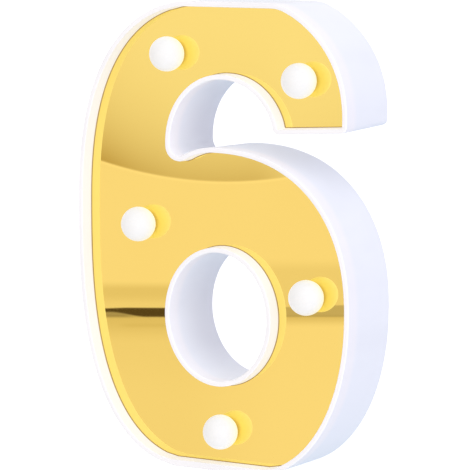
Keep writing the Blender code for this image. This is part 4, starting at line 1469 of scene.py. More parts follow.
@dataclass
class BackCover:
    """The flat back: battery well, door opening, switch slot with its thumb recess, keyhole and screw cups.

    Attributes:
        distance: How far its edge lies inside the digit's outline.
        front: The depth of its inside.
        mouth_round: The rounding of the mouths of its recesses.
        head_seat: The depth at which the head sits.
        switch: The middle of the switch's recess, (x, z).
        rail_offset: How far each lies from the switch's middle.
        rail_front: The depth of their ends.
        keyhole: The middle of the keyhole's entry, (x, z).
        keyhole_slot: Half of the slot's width.
        keyhole_rise: How far the slot rises.
        keyhole_steps: Stretches round the entry and round the slot's end.
        overcut: How far a cut goes past what it cuts.
    """

    digit: Digit = DIGIT
    bay: Bay = field(default_factory=lambda: BAY)
    distance: float = 1.9
    front: float = 39.2
    edge_round: float = 0.3
    edge_steps: int = 3
    mouth_round: float = 0.25
    head_radius: float = 2.9
    head_seat: float = 39.1
    screw_bore: float = 1.6
    cup_radius: float = 4.3
    cup_front: float = 37.2
    round_sides: int = 40
    switch: Pair = (-47.19, 63.8)
    thumb_size: Pair = (15.0, 8.0)
    thumb_round: float = 1.2
    thumb_floor: float = 40.2
    slot_size: Pair = (6.6, 3.0)
    slot_round: float = 0.3
    corner_steps: int = 6
    rail_size: Pair = (13.0, 1.2)
    rail_round: float = 0.2
    rail_offset: float = 4.4
    rail_front: float = 35.2
    keyhole: Pair = (-4.45, 196.9)
    keyhole_radius: float = 4.0
    keyhole_slot: float = 2.1
    keyhole_rise: float = 9.0
    keyhole_steps: tuple[int, int] = (36, 18)
    overcut: float = 1.0

    def _keyhole_loop(self) -> Loop:
        """The hanging hole: a round entry with a narrower slot above it.

        Returns:
            The loop, anticlockwise.
        """
        mouth = math.degrees(math.asin(self.keyhole_slot / self.keyhole_radius))
        x, z = self.keyhole
        entry_steps, slot_steps = self.keyhole_steps
        entry = arc((x, z), self.keyhole_radius, 90 + mouth, 450 - mouth, entry_steps)
        slot = arc((x, z + self.keyhole_rise), self.keyhole_slot, 0, 180, slot_steps)
        return [Vector(point) for point in entry + slot]

    def _sinks(self, bm: bmesh.types.BMesh) -> tuple[Edges, Edges]:
        """Adds the eight screw sinks and their cups.

        Args:
            bm: The mesh to add to.

        Returns:
            Their rims in the back and in the front face.
        """
        back: Edges = []
        front: Edges = []
        for shares in self.digit.screws:
            place = self.digit.place(shares)
            head = circle(place, self.head_radius, self.round_sides)
            layers = lip(head, self.digit.depth, self.mouth_round)
            layers.append((self.head_seat, head))
            layers += [(depth, circle(place, radius, self.round_sides)) for depth, radius in (
                (self.head_seat, self.screw_bore), (self.cup_front, self.screw_bore),
                (self.cup_front, self.cup_radius), (self.front, self.cup_radius))]
            near, far = skin(bm, self.digit, layers)
            back += near
            front += far
        return back, front

    def _pockets(self) -> bmesh.types.BMesh:
        """What the door's tabs turn in, and the two ways for the wires.

        Returns:
            The shapes to cut out of the cover.
        """
        bay, gap, over = self.bay, self.bay.gap, self.overcut
        sweep = math.hypot(self.digit.depth - self.front + gap + bay.tab_thickness, bay.tab_reach) + gap
        parts = []
        for side in (-1, 1):
            x = bay.centre[0] + side * bay.tab_spacing / 2
            half = bay.tab_width / 2 + gap
            parts.append(block(
                self.digit.at((x - half, bay.bottom - bay.wall - over), self.digit.depth - sweep),
                self.digit.at((x + half, bay.bottom + over), self.front)))
            x = bay.centre[0] + side * bay.width / 4
            top = bay.bottom + bay.height
            parts.append(block(
                self.digit.at((x - bay.wire_way / 2, top - over), bay.floor + gap),
                self.digit.at((x + bay.wire_way / 2, top + bay.wall + over), bay.floor + bay.wire_way)))
        return gathered(parts)

    def build(self) -> bpy.types.Object:
        """Builds and dresses the cover.

        Returns:
            The cover.
        """
        bm = bmesh.new()
        depth, bay, mouth, rounding = self.digit.depth, self.bay, self.mouth_round, self.edge_round
        edge = arc((depth - rounding, self.distance + rounding), rounding, -90, 0, self.edge_steps)
        front, back = ring_skins(bm, self.digit, (
            [(self.front, self.distance)] + edge + [(depth, edge[-1][1] + rounding / 2)]))
        sinks_back, sinks_front = self._sinks(bm)
        back += sinks_back
        front += sinks_front

        keyhole = self._keyhole_loop()
        near, far = skin(bm, self.digit, lip(keyhole, depth, mouth) + [(self.front, keyhole)])
        back += near
        front += far

        thumb = panel(self.switch, self.thumb_size, self.thumb_round, self.corner_steps)
        slot = panel(self.switch, self.slot_size, self.slot_round, self.corner_steps)
        near, far = skin(bm, self.digit, lip(thumb, depth, mouth) + [
            (self.thumb_floor, thumb), (self.thumb_floor, slot), (self.front, slot)])
        back += near
        front += far

        room = bay.door_size[0] + 2 * bay.gap, bay.door_size[1] + 2 * bay.gap
        opening = panel(bay.centre, room, bay.opening_round)
        inside = panel(bay.centre, (bay.width, bay.height), bay.inside_round)
        near, far = skin(bm, self.digit, lip(opening, depth, mouth) + [
            (bay.ledge, opening), (bay.ledge, inside), (bay.floor, inside)])
        back += near
        bmesh.ops.contextual_create(bm, geom=far)

        well = panel(bay.centre, (bay.width + 2 * bay.wall, bay.height + 2 * bay.wall), bay.well_round)
        raised = [(well, bay.front)]
        for side in (-1, 1):
            place = (self.switch[0], self.switch[1] + side * self.rail_offset)
            raised.append((panel(place, self.rail_size, self.rail_round), self.rail_front))
        for loop, end in raised:
            near, far = skin(bm, self.digit, [(self.front, loop), (end, loop)])
            front += near
            bmesh.ops.contextual_create(bm, geom=far)
        filled(bm, front, back)
        cut = carved(bm, self._pockets())
        return add_piece(cut, "cover_panel", COVER_TEXTURE, ("back_cover",))


@dataclass
class BatteryDoor:
    """The door: a panel with a snap tongue and finger grooves, and two tabs under the cover's edge.

    Attributes:
        edge_flat: How far in the flat back starts, in shares of that rounding.
        grip_round: The rounding of its ends.
        grip_mouth: The rounding of its mouth.
        tab_sink: How far a tab reaches into the panel.
    """

    digit: Digit = DIGIT
    bay: Bay = field(default_factory=lambda: BAY)
    front: float = 39.2
    edge_round: float = 0.3
    edge_steps: int = 3
    edge_flat: float = 1.5
    corner_round: float = 0.35
    tongue_width: float = 11.0
    tongue_length: float = 9.0
    slit: float = 0.9
    grip_size: Pair = (7.0, 0.8)
    grip_depth: float = 0.5
    grip_round: float = 0.35
    grip_mouth: float = 0.15
    grip_pitch: float = 1.9
    grips: int = 3
    tab_round: float = 0.15
    tab_sink: float = 1.0

    def _outline(self) -> Loop:
        """The panel's outline with the tongue's two slits.

        Returns:
            The loop, anticlockwise.
        """
        x, _ = self.bay.centre
        half = self.bay.door_size[0] / 2
        low, high = self.bay.door_bottom, self.bay.door_top
        near, far = self.tongue_width / 2, self.tongue_width / 2 + self.slit
        foot = high - self.tongue_length
        points = [
            (-half, low), (half, low), (half, high), (far, high), (far, foot), (near, foot), (near, high),
            (-near, high), (-near, foot), (-far, foot), (-far, high), (-half, high),
        ]
        loop = [Vector((x + across, level)) for across, level in points]
        return fillet(loop, range(len(loop)), self.corner_round, 4)

    def build(self) -> bpy.types.Object:
        """Builds and dresses the door.

        Returns:
            The door.
        """
        bm = bmesh.new()
        depth, outline, rounding = self.digit.depth, self._outline(), self.edge_round
        edge = arc((depth - rounding, rounding), rounding, -90, 0, self.edge_steps)
        stations = [(self.front, 0.0)] + edge + [(depth, rounding * self.edge_flat)]
        front, back = skin(bm, self.digit, [(d, inset(outline, distance)) for d, distance in stations])
        for row in range(self.grips):
            level = self.bay.door_top - (row + 1) * self.grip_pitch - self.grip_size[1] / 2
            groove = panel((self.bay.centre[0], level), self.grip_size, self.grip_round)
            layers = lip(groove, depth, self.grip_mouth) + [(depth - self.grip_depth, groove)]
            near, far = skin(bm, self.digit, layers)
            back += near
            bmesh.ops.contextual_create(bm, geom=far)
        filled(bm, front, back)
        whole = gathered([bm] + self._tabs())
        return add_piece(whole, "door_panel", COVER_TEXTURE, ("battery_door",), Body.DOOR)

    def _tabs(self) -> list[bmesh.types.BMesh]:
        """The two hinge tabs, each a stem behind the panel and a foot that reaches under the cover.

        Returns:
            Their blocks.
        """
        bay, gap = self.bay, self.bay.gap
        tab_front = self.front - gap - bay.tab_thickness
        top = bay.bottom + bay.tab_thickness + self.tab_sink
        blocks = []
        for side in (-1, 1):
            low = bay.centre[0] + side * bay.tab_spacing / 2 - bay.tab_width / 2
            high = low + bay.tab_width
            for start, end, far_depth in (
                ((low, bay.bottom + gap), (high, top), self.front + self.tab_sink),
                ((low, bay.door_bottom - bay.tab_reach), (high, top - self.tab_sink), self.front - gap),
            ):
                blocks.append(block(
                    self.digit.at(start, tab_front), self.digit.at(end, far_depth), self.tab_round * MM))
        return blocks


@dataclass
class Screws:
    """Eight self-tapping pan-head screws with a cross recess.

    Attributes:
        head_round: The rounding of its edge.
        thread_root: How far the thread reaches into the shank.
        thread_width: Its width at the root, in shares of the pitch.
        drive: The cross recess: an arm's length, its width and its depth.
        drive_taper: What an arm narrows to at its floor.
        turn_step: How much further each screw is turned than the one before, in radians.
    """

    digit: Digit = DIGIT
    head_radius: float = 2.6
    head: float = 1.5
    head_round: float = 0.9
    shank_radius: float = 1.0
    thread_radius: float = 1.3
    thread_root: float = 0.1
    thread_width: float = 0.56
    length: float = 9.0
    tip: float = 1.5
    pitch: float = 1.0
    sink: float = 0.3
    drive: Triple = (3.0, 0.75, 0.75)
    drive_taper: float = 0.6
    sides: int = 40
    thread_steps: int = 16
    turn_step: float = 0.7

    def _thread(self, seat: float) -> bmesh.types.BMesh:
        """The thread: a wedge swept along a helix round the shank.

        Args:
            seat: The depth at which the head sits.

        Returns:
            The thread, in metres.
        """
        bm = bmesh.new()
        start = self.digit.front_y + seat - self.length + self.tip
        low = self.shank_radius - self.thread_root
        width = self.thread_width * self.pitch
        wedge = [bm.verts.new(point) for point in (
            (low, start, 0), (self.thread_radius, start + width / 2, 0), (low, start + width, 0))]
        bm.faces.new(wedge)
        turns = int((self.length - self.tip) / self.pitch) - 1
        steps = turns * self.thread_steps
        bmesh.ops.spin(
            bm, geom=bm.verts[:] + bm.edges[:] + bm.faces[:], cent=(0, 0, 0), axis=(0, 1, 0),
            dvec=(0, self.pitch / self.thread_steps, 0), angle=FULL_TURN * turns, steps=steps,
            use_merge=False, use_duplicate=False)
        bmesh.ops.scale(bm, vec=(MM, MM, MM), verts=bm.verts)
        return bm

    def _screw(self) -> bmesh.types.BMesh:
        """One screw, round the Y axis.

        Returns:
            The screw, in metres.
        """
        back = self.digit.depth - self.sink
        seat = back - self.head
        dome = arc((self.head_radius - self.head_round, back - self.head_round), self.head_round, 0, 90, 6)
        profile = [(0, seat - self.length), (self.shank_radius, seat - self.length + self.tip),
                   (self.shank_radius, seat), (self.head_radius, seat)] + dome + [(0, back)]
        solid = turned(profile, (0, 0), self.digit.front_y, self.sides)
        long_side, short_side, drive_depth = self.drive
        arms = []
        for width, height in ((long_side, short_side), (short_side, long_side)):
            arm = block(self.digit.at((-width / 2, -height / 2), back - drive_depth),
                        self.digit.at((width / 2, height / 2), back + 1))
            floor = (self.digit.front_y + back - drive_depth / 2) * MM
            deep = [vert for vert in arm.verts if vert.co.y < floor]
            bmesh.ops.scale(arm, vec=(self.drive_taper, 1, self.drive_taper), verts=deep)
            arms.append(arm)
        whole = carved(carved(solid, arms[0]), arms[1])
        return gathered([whole, self._thread(seat)])

    def build(self) -> list[bpy.types.Object]:
        """Builds and dresses the screws, each turned by its own amount.

        Returns:
            The screws, in the digit's order.
        """
        made = []
        for number, shares in enumerate(self.digit.screws, 1):
            screw = self._screw()
            turn = Matrix.Rotation(number * self.turn_step, 3, "Y")
            bmesh.ops.rotate(screw, cent=(0, 0, 0), matrix=turn, verts=screw.verts)
            x, z = self.digit.place(shares)
            bmesh.ops.translate(screw, vec=(x * MM, 0, z * MM), verts=screw.verts)
            made.append(add_piece(screw, f"screw_{number}", STEEL, (f"cover_screw_{number}",)))
        return made


@dataclass
class Cells:
    """Two AA cells, the right one upside down, with their sheet contacts and conical springs.

    Attributes:
        nub: The nub's radius and height.
        nub_round: The rounding of its end.
        nub_foot: How much wider its foot is, and how far above the groove it ends.
        dish: The dished flat end's two radii and its depth.
        groove: The groove round the nub: its two outer radii and its depth.
        band: Where the sleeve's pale band starts and ends, along the cell.
        spring_radii: A spring's radius at its foot and at its end.
    """

    radius: float = 7.25
    length: float = 50.5
    nub: Pair = (2.75, 1.2)
    nub_round: float = 0.3
    nub_foot: Pair = (0.25, 0.1)
    dish: Triple = (5.0, 5.3, 0.1)
    groove: Triple = (5.2, 4.9, 0.35)
    edge: float = 0.6
    sides: int = 64
    band: Pair = (38.0, 46.0)
    contact_round: float = 0.12
    wire: float = 0.35
    spring_radii: Pair = (3.9, 2.4)
    spring_turns: float = 3.5
    spring_points: int = 40

    def _cell(self) -> bmesh.types.BMesh:
        """One cell along Z, standing on its flat end.

        Returns:
            The cell, in metres.
        """
        nub, height = self.nub
        crown, rim = self.length - height, self.radius - self.edge
        dish, dish_rim, dish_depth = self.dish
        groove_rim, groove, groove_depth = self.groove
        flare, rise = self.nub_foot
        profile: list[Pair] = [(0, dish_depth), (dish, dish_depth), (dish_rim, 0)]
        profile += arc((rim, self.edge), self.edge, -90, 0, 5)
        profile += arc((rim, crown - self.edge), self.edge, 0, 90, 5)
        profile += [(groove_rim, crown), (groove, crown - groove_depth)]
        profile += [(nub + flare, crown - groove_depth), (nub, crown - rise)]
        profile += arc((nub - self.nub_round, self.length - self.nub_round), self.nub_round, 0, 90, 4)
        profile += [(0, self.length)]
        bm = turned(profile, (0, 0), 0, self.sides)
        bmesh.ops.rotate(bm, cent=(0, 0, 0), matrix=Matrix.Rotation(QUARTER, 3, "X"), verts=bm.verts)
        return bm

    def cells(self) -> None:
        """Builds and dresses the cells."""
        for number in (1, 2):
            low, high = node_box(f"battery_{number}")
            upside_down = number == 2
            bm = self._cell()
            band = self.band
            if upside_down:
                middle = (0, 0, self.length / 2 * MM)
                bmesh.ops.rotate(bm, cent=middle, matrix=Matrix.Rotation(math.pi, 3, "X"), verts=bm.verts)
                band = self.length - band[1], self.length - band[0]
            axis = Vector(((low.x + high.x) / 2, (low.y + high.y) / 2)) * MM
            bmesh.ops.translate(bm, vec=(axis.x, axis.y, low.z * MM), verts=bm.verts)
            sleeve = PrintedSleeve(f"cell_sleeve_{number}", low.z + band[0], low.z + band[1])
            cell = add_piece(bm, f"cell_{number}", sleeve, (f"battery_{number}",))
            cell.data.materials.append(STEEL.material())
            for face in cell.data.polygons:
                middle = Vector((face.center.x, face.center.y))
                if (middle - axis).length < (self.radius - self.edge) * MM:
                    face.material_index = 1

    def contacts(self) -> None:
        """Builds and dresses the three sheet contacts."""
        for node in ("bridge_contact", "positive_contact", "negative_contact"):
            low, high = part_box(node)
            plate = block(low, high, self.contact_round * MM)
            add_piece(plate, f"{node}_sheet", STEEL, (node,))

    def _coil(self, low: Vector, high: Vector, rising: bool) -> bmesh.types.BMesh:
        """A conical coil of wire that fills a node's box.

        Args:
            low: The box's lowest corner.
            high: Its highest corner.
            rising: True where the wide foot is at the bottom.

        Returns:
            The coil, in metres.
        """
        curve = bpy.data.curves.new("coil", "CURVE")
        curve.dimensions = "3D"
        curve.bevel_depth = self.wire * MM
        curve.bevel_resolution = 3
        curve.use_fill_caps = True
        count = round(self.spring_turns * self.spring_points)
        spline = curve.splines.new("POLY")
        spline.points.add(count)
        x, y = (low.x + high.x) / 2, (low.y + high.y) / 2
        start, end = low.z + self.wire, high.z - self.wire
        if not rising:
            start, end = end, start
        wide, narrow = self.spring_radii
        for step, point in enumerate(spline.points):
            share = step / count
            turn = FULL_TURN * self.spring_turns * share
            reach = wide + (narrow - wide) * share
            level = start + (end - start) * share
            point.co = ((x + reach * math.cos(turn)) * MM, (y + reach * math.sin(turn)) * MM, level * MM, 1)
        holder = bpy.data.objects.new("coil", curve)
        bpy.context.scene.collection.objects.link(holder)
        ready = holder.evaluated_get(bpy.context.evaluated_depsgraph_get())
        bm = bmesh.new()
        bm.from_mesh(ready.to_mesh())
        ready.to_mesh_clear()
        bpy.data.objects.remove(holder)
        bpy.data.curves.remove(curve)
        bmesh.ops.remove_doubles(bm, verts=bm.verts, dist=MERGE_DISTANCE * MM)
        return bm

    def springs(self) -> None:
        """Builds and dresses the two springs."""
        for node, rising in (("bridge_spring", True), ("negative_spring", False)):
            low, high = node_box(node)
            add_piece(self._coil(low, high, rising), f"{node}_coil", SPRING_STEEL, (node,))

    def build(self) -> None:
        """Builds everything in the bay."""
        self.cells()
        self.contacts()
        self.springs()


@dataclass
class SwitchKnob:
    """The slide switch's knob: a foot in the track and a ridged stem in the cover's slot.

    Attributes:
        ridge_half: Half of a ridge's width, in shares of the pitch.
        ridge_end: How far a ridge ends inside the stem.
        ridge_edge: The rounding of its edges, in shares of the knob's.
    """

    ridge: float = 0.35
    ridges: int = 3
    ridge_half: float = 0.28
    ridge_end: float = 0.1
    ridge_edge: float = 0.8
    edge: float = 0.15
    stem_size: Pair = (3.0, 2.4)
    foot: float = 1.4

    def build(self) -> bpy.types.Object:
        """Builds and dresses the knob.

        Returns:
            The knob.
        """
        low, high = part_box("switch_knob")
        x, z = (low[0] + high[0]) / 2, (low[2] + high[2]) / 2
        half_x, half_z = self.stem_size[0] / 2 * MM, self.stem_size[1] / 2 * MM
        top = high[1] - self.ridge * MM
        parts = [
            block(low, (high[0], low[1] + self.foot * MM, high[2]), self.edge * MM),
            block((x - half_x, low[1] + self.foot / 2 * MM, z - half_z), (x + half_x, top, z + half_z),
                  self.edge * MM),
        ]
        pitch = self.stem_size[0] / self.ridges * MM
        half, end = pitch * self.ridge_half, self.ridge_end * MM
        for row in range(self.ridges):
            middle = x - half_x + (row + 0.5) * pitch
            parts.append(block(
                (middle - half, top - self.ridge * MM, z - half_z + end),
                (middle + half, high[1], z + half_z - end), self.edge * self.ridge_edge * MM))
        knob = gathered(parts)
        return add_piece(knob, "knob_ridged", SWITCH_BLACK, ("switch_knob",), Body.KNOB)


@dataclass
class InnerParts:
    """The CAD nodes that stay as they are and only get their finishes."""

    lamps: int = len(DIGIT.globes)

    def _dress(self, nodes: Sequence[str], finish: Finish) -> None:
        """Gives CAD nodes a finish.

        Args:
            nodes: Their names.
            finish: The finish.
        """
        for name in nodes:
            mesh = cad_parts[name].data
            mesh.materials.clear()
            mesh.materials.append(finish.material())
            LOG.info("%s: %s", name, finish.name)

    def build(self) -> None:
        """Dresses the lamps, their holders, the switch's body, the resistor and the wires."""
        numbers = range(1, self.lamps + 1)
        self._dress([f"led_{number}" for number in numbers], LAMP)
        self._dress([f"led_holder_{number}" for number in numbers], HOLDER)
        self._dress(["switch_body"], SWITCH_BLACK)
        self._dress([f"led_link_wire_{number}" for number in numbers[:-1]], TWIN_WIRE)
        self._dress(["battery_wire_positive"], RED_WIRE)
        self._dress(["battery_wire_negative", "switch_wire"], BLACK_WIRE)
        low, high = node_box("resistor")
        self._dress(["resistor"], BandedLacquer("resistor_lacquer_finish", middle=(low.x + high.x) / 2))


# The studio


@dataclass(frozen=True)
class Tint:
    """One colour channel of the light, by where it comes from.

    Attributes:
        level: What comes from all round.
        front: How much more comes from the front than from the back.
        right: How much more comes from the right.
        top: How much more comes from above.
        window: The soft window high at the front right.
        back_left: What the back left adds.
        back_right: What the back right lacks.
    """

    level: float
    front: float
    right: float
    top: float
    window: float
    back_left: float
    back_right: float


def rising(place: Signal, ramp: Ramp) -> Signal:
    """A ramp that is 0 before its start and full at its end."""
    start, end, amount = ramp
    return place.step(start, end) * amount


def falling(place: Signal, ramp: Ramp) -> Signal:
    """A ramp that is full before its start and 0 at its end."""
    start, end, amount = ramp
    return (1 - place.step(start, end)) * amount


@dataclass(frozen=True)
class CardPattern:
    """What the mirror shows: a sweep of paper with a curved lower edge, and a table's edge below it.

    Places are pixels of the picture: x to the right, y down. A ramp is where it starts, where it ends
    and how much it gives.

    Attributes:
        side: The picture's side.
        arch: The sweep's edge: the y and the x of its lowest point, and its bend.
        arch_edge: The pixels above it over which it turns from one paper to the other.
        arch_line: The pale line under it: where it sets in and where it ends.
        shade: The sweep's shade at the right.
        shade_ramps: The ramps in x that deepen it to the left.
        shade_fall: How fast it fades with every pixel above the edge.
        sweep_shade: The colour of its shade.
        right_half: From left of the hole to right of it.
        veil_left: The ramps in y of the veil left of the hole.
        veil_streak: A streak in it: where it sets in and where it ends.
        streak_ramp: The ramp in x at which the streak starts.
        veil_right: The ramps in y of the veil right of the hole.
        band_top: Where the table's dark edge sets in.
        band_foot: Where it ends.
        band_climb: How much higher it sets in at the right.
        band_dip: How much lower it sets in at the left.
        band_lift: How much higher it ends at the left.
        band_fade: How much paler it is at the right.
        fringe_foot: Where its soft fringe ends.
        fringe_ramp: The ramp in x over which the fringe ends.
        margin: How far round the picture the pattern fades to white.
        tint: What the whole card is multiplied by.
    """

    side: float
    arch: Triple = (181.4, 227.0, 0.00132)
    arch_edge: Pair = (-1.2, 1.2)
    arch_line: tuple[Pair, Pair] = ((-3.2, -1.8), (-1.2, 0.0))
    shade: float = 0.27
    shade_ramps: tuple[Ramp, ...] = ((250, 300, 0.33), (140, 185, 0.1), (90, 150, 0.22))
    shade_fall: float = -0.02
    sweep: Colour = (1.03, 1.09, 1.17)
    sweep_shade: Colour = (0.515, 0.42, 0.21)
    right_half: Pair = (170, 285)
    veil_left: tuple[Ramp, ...] = (
        (280, 290, 0.34), (293, 307, -0.2), (314, 317, 0.3), (318, 345, -0.28), (345, 400, -0.06))
    veil_streak: tuple[Pair, Pair] = ((322, 325.5), (325.5, 329))
    streak_ramp: Ramp = (115, 130, 0.09)
    veil_right: tuple[Ramp, ...] = ((257, 272, 0.19), (314, 317, 0.22), (317, 328, -0.41))
    table: Colour = (1.01, 1.02, 1.03)
    veil: Colour = (0.5, 0.43, 0.15)
    band_top: Pair = (307, 308.6)
    band_foot: Pair = (316, 318)
    band_climb: Ramp = (250, 360, 2.7)
    band_dip: Ramp = (104, 130, 0.7)
    band_lift: Ramp = (110, 147, 5.0)
    band_fade: float = 0.61
    fringe_foot: Pair = (315.5, 319)
    fringe_ramp: Ramp = (122, 150, 0.6)
    line: Colour = (1.08, 1.09, 1.12)
    dark: Colour = (0.1, 0.08, 0.05)
    margin: float = 60.0
    tint: Triple = (0.975, 0.866, 0.88)

    def _sweep(self, tree: ShaderTree, x: Signal, above: Signal) -> Signal:
        """The sweep of paper.

        Args:
            tree: The card's tree.
            x: The place to the right.
            above: How far it lies above the sweep's edge.

        Returns:
            Its colour.
        """
        depth = self.shade + falling(x, self.shade_ramps[0])
        for ramp in self.shade_ramps[1:]:
            depth = depth + falling(x, ramp)
        return tree.mix(depth * math.e ** (above * self.shade_fall), self.sweep, self.sweep_shade)

    def _table(self, tree: ShaderTree, x: Signal, y: Signal, above: Signal) -> Signal:
        """The table below the sweep, with its veils, the pale line and its dark edge.

        Args:
            tree: The card's tree.
            x: The place to the right.
            y: The place down.
            above: How far it lies above the sweep's edge.

        Returns:
            Its colour.
        """
        right = x.step(*self.right_half)
        sets_in, ends = self.veil_streak
        streak = (y.step(*sets_in) - y.step(*ends)) * rising(x, self.streak_ramp)
        left_veil = sum((rising(y, ramp) for ramp in self.veil_left), streak)
        first, *others = (rising(y, ramp) for ramp in self.veil_right)
        veil = left_veil * (1 - right) + sum(others, first) * right
        sets_in, ends = self.arch_line
        line = above.step(*sets_in) * (1 - above.step(*ends))
        paper = tree.mix(line, tree.mix(veil, self.table, self.veil), self.line)

        set_in = (y + rising(x, self.band_climb) - falling(x, self.band_dip)).step(*self.band_top)
        ended = (y + falling(x, self.band_lift)).step(*self.band_foot)
        core = set_in * (1 - ended) * (1 - right * self.band_fade)
        fringe = set_in * (1 - y.step(*self.fringe_foot)) * falling(x, self.fringe_ramp)
        return tree.mix(core + (1 - core) * fringe, paper, self.dark)

    def _inside(self, place: Signal) -> Signal:
        """1 in the picture along one axis, 0 beyond the margin."""
        return place.step(-self.margin, 0) * (1 - place.step(self.side, self.side + self.margin))

    def paint(self, tree: ShaderTree, pixel: float) -> None:
        """Paints the card, which glows with its pattern.

        Args:
            tree: The card's empty tree.
            pixel: How wide the picture's pixel is on the card, in metres.
        """
        across, up, _ = tree.axes(tree.coordinates())
        x = across / pixel + self.side / 2
        y = self.side / 2 - up / pixel
        lowest, middle, bend = self.arch
        above = lowest - (x - middle) ** 2 * bend - y
        glow = tree.mix(
            above.step(*self.arch_edge), self._table(tree, x, y, above), self._sweep(tree, x, above))
        faded = tree.mix(self._inside(x) * self._inside(y), (1, 1, 1), glow)
        colour = tree.value(
            "ShaderNodeVectorMath", {"operation": "MULTIPLY"}, {0: faded, 1: self.tint})
        shader = tree.node("ShaderNodeEmission", sockets={"Color": colour, "Strength": 1.0})
        tree.node("ShaderNodeOutputMaterial", sockets={"Surface": shader.outputs[0]})


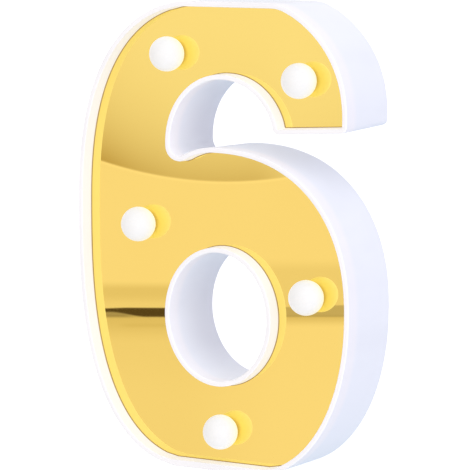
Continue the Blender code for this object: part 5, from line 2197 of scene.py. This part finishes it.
@dataclass
class Studio:
    """The floor, the light and the card that the mirror shows, none of them part of the object.

    Attributes:
        image_side: The picture's side, in pixels.
        focal: The focal length, in pixels.
        camera_place: Where the camera stands, in metres.
        azimuth: How far it stands to the right of the digit's front, in degrees.
        elevation: How far it looks down, in degrees.
        paper_glow: How strongly it glows, so that it stays white.
        card_distance: How far the card lies in front of the digit, in metres.
        card_reach: Half of the card's side, in the picture's pixels.
        aim_height: The height at which the camera's distance is taken, in metres.
        mirror_depth: The depth of the mirror's face.
        mirrored_limit: No light is mirrored brighter than this.
        window_way: Where the window is, in shares of right, back and up.
        diagonal: The share of a direction that points half right, half back.
        back_rise: How the light from the back left grows with height, and what it is at the horizon.
        tints: The light's red, green and blue.
    """

    floor_size: float = 40.0
    image_side: float = 470.0
    sensor: float = 36.0
    focal: float = 3000.0
    clip: Pair = (0.05, 100.0)
    camera_place: Triple = (0.73664, -1.1947, 0.27762)
    azimuth: float = 31.5396
    elevation: float = 6.8169
    paper: Colour = (0.85, 0.85, 0.86)
    paper_glow: float = 0.55
    card_distance: float = 1.0
    card_reach: float = 300.0
    aim_height: float = 0.11
    mirror_depth: float = 7.5
    mirrored_limit: float = 1.02
    window_way: Triple = (0.542, -0.542, 0.643)
    diagonal: float = 0.707
    back_rise: Pair = (1.7, 0.18)
    tints: tuple[Tint, Tint, Tint] = (
        Tint(0.592, 0.162, 0.331, -0.335, 1.381, 1.62, 0.565),
        Tint(0.635, -0.01, 0.347, -0.4, 1.513, 1.44, 0.77),
        Tint(0.71, -0.15, 0.45, -0.45, 1.6, 1.46, 0.92))

    def _directions(self) -> tuple[Vector, Vector, Vector]:
        """Where the camera looks.

        Returns:
            Its right, up and forward directions.
        """
        turn, dip = math.radians(self.azimuth), math.radians(self.elevation)
        level = math.cos(dip)
        forward = Vector((-math.sin(turn) * level, math.cos(turn) * level, -math.sin(dip)))
        right = forward.cross(Vector((0, 0, 1))).normalized()
        return right, right.cross(forward), forward

    def camera(self) -> None:
        """Makes the camera at the photograph's viewing angle."""
        data = bpy.data.cameras.new("view")
        data.sensor_width = self.sensor
        data.lens = self.focal / self.image_side * self.sensor
        data.clip_start, data.clip_end = self.clip
        camera = bpy.data.objects.new("view", data)
        camera.location = self.camera_place
        camera.rotation_mode = "QUATERNION"
        camera.rotation_quaternion = self._directions()[2].to_track_quat("-Z", "Y")
        bpy.context.scene.collection.objects.link(camera)
        bpy.context.scene.camera = camera
        bpy.context.scene.view_settings.view_transform = "Standard"

    def floor(self) -> None:
        """A wide white sheet under the digit."""
        bm = bmesh.new()
        bmesh.ops.create_grid(bm, x_segments=1, y_segments=1, size=self.floor_size / 2)
        mesh = bpy.data.meshes.new("floor")
        bm.to_mesh(mesh)
        bm.free()
        material = bpy.data.materials.new("floor_paper")
        tree = ShaderTree(material)
        tree.principled({
            "Base Color": (*self.paper, 1),
            "Roughness": 0.9,
            "Emission Color": (1, 1, 1, 1),
            "Emission Strength": self.paper_glow,
        })
        mesh.materials.append(material)
        floor = bpy.data.objects.new("floor", mesh)
        bpy.context.scene.collection.objects.link(floor)
        floor.visible_glossy = False
        floor.visible_diffuse = False

    def world(self) -> None:
        """Soft light from all round, fuller from a window high at the front right and from the back left.

        The camera sees plain white instead, and what is mirrored stays under a limit.
        """
        world = bpy.data.worlds.new("tent")
        tree = ShaderTree(world)
        side, away, height = tree.axes(tree.value("ShaderNodeTexCoord", output="Generated"))
        across, back, up = self.window_way
        growth, horizon = self.back_rise
        window = (side * across + away * back + height * up).at_least(0) ** 2
        back_left = ((away - side) * self.diagonal).at_least(0) ** 2 * (height.at_least(0) * growth + horizon)
        back_right = ((away + side) * self.diagonal).at_least(0) ** 2
        lights = [
            (tint.level - away * tint.front + side * tint.right + height * tint.top + window * tint.window
             + back_left * tint.back_left - back_right * tint.back_right).at_least(0)
            for tint in self.tints
        ]
        seen = tree.value("ShaderNodeLightPath", output="Is Camera Ray")
        mirrored = tree.value("ShaderNodeLightPath", output="Is Glossy Ray")
        channels = []
        for light in lights:
            glare = (light - self.mirrored_limit).at_least(0)
            light = light - glare * mirrored
            channels.append(light * (1 - seen) + seen)
        glow = tree.value("ShaderNodeCombineXYZ", None, dict(enumerate(channels)))
        shader = tree.node("ShaderNodeBackground", sockets={"Color": glow, "Strength": 1.0})
        tree.node("ShaderNodeOutputWorld", sockets={"Surface": shader.outputs[0]})
        bpy.context.scene.world = world

    def card(self) -> None:
        """The card in front of the digit that its mirror face shows to the camera."""
        right, up, forward = self._directions()
        plane = (DIGIT.front_y + self.mirror_depth) * MM
        eye = Vector(self.camera_place)
        eye.y = 2 * plane - eye.y
        flip = Matrix.Scale(-1, 3, Vector((0, 1, 0)))
        right, up, forward = flip @ right, flip @ up, flip @ forward
        reach = (eye - Vector((0, plane, self.aim_height))).length + self.card_distance
        centre = eye + forward * reach
        pixel = reach / self.focal
        bm = bmesh.new()
        bmesh.ops.create_grid(bm, x_segments=1, y_segments=1, size=self.card_reach * pixel)
        mesh = bpy.data.meshes.new("mirror_card")
        bm.to_mesh(mesh)
        bm.free()
        material = bpy.data.materials.new("mirror_card_paper")
        CardPattern(self.image_side).paint(ShaderTree(material), pixel)
        mesh.materials.append(material)
        card = bpy.data.objects.new("mirror_card", mesh)
        turn = Matrix((right, up, right.cross(up))).transposed()
        card.matrix_world = Matrix.Translation(centre) @ turn.to_4x4()
        bpy.context.scene.collection.objects.link(card)
        card.visible_camera = False
        card.visible_diffuse = False
        card.visible_shadow = False
        card.visible_transmission = False

    def build(self) -> None:
        """Sets up the whole studio."""
        self.camera()
        self.floor()
        self.world()
        self.card()


def main() -> None:
    """Builds the pieces in order and the studio round them."""
    logging.basicConfig(level=logging.INFO, format="%(name)s: %(message)s")
    Studio().build()
    Housing().build()
    MirrorFace().build()
    Globes().build()
    BackCover().build()
    BatteryDoor().build()
    Screws().build()
    Cells().build()
    SwitchKnob().build()
    InnerParts().build()


if __name__ == "__main__":
    main()
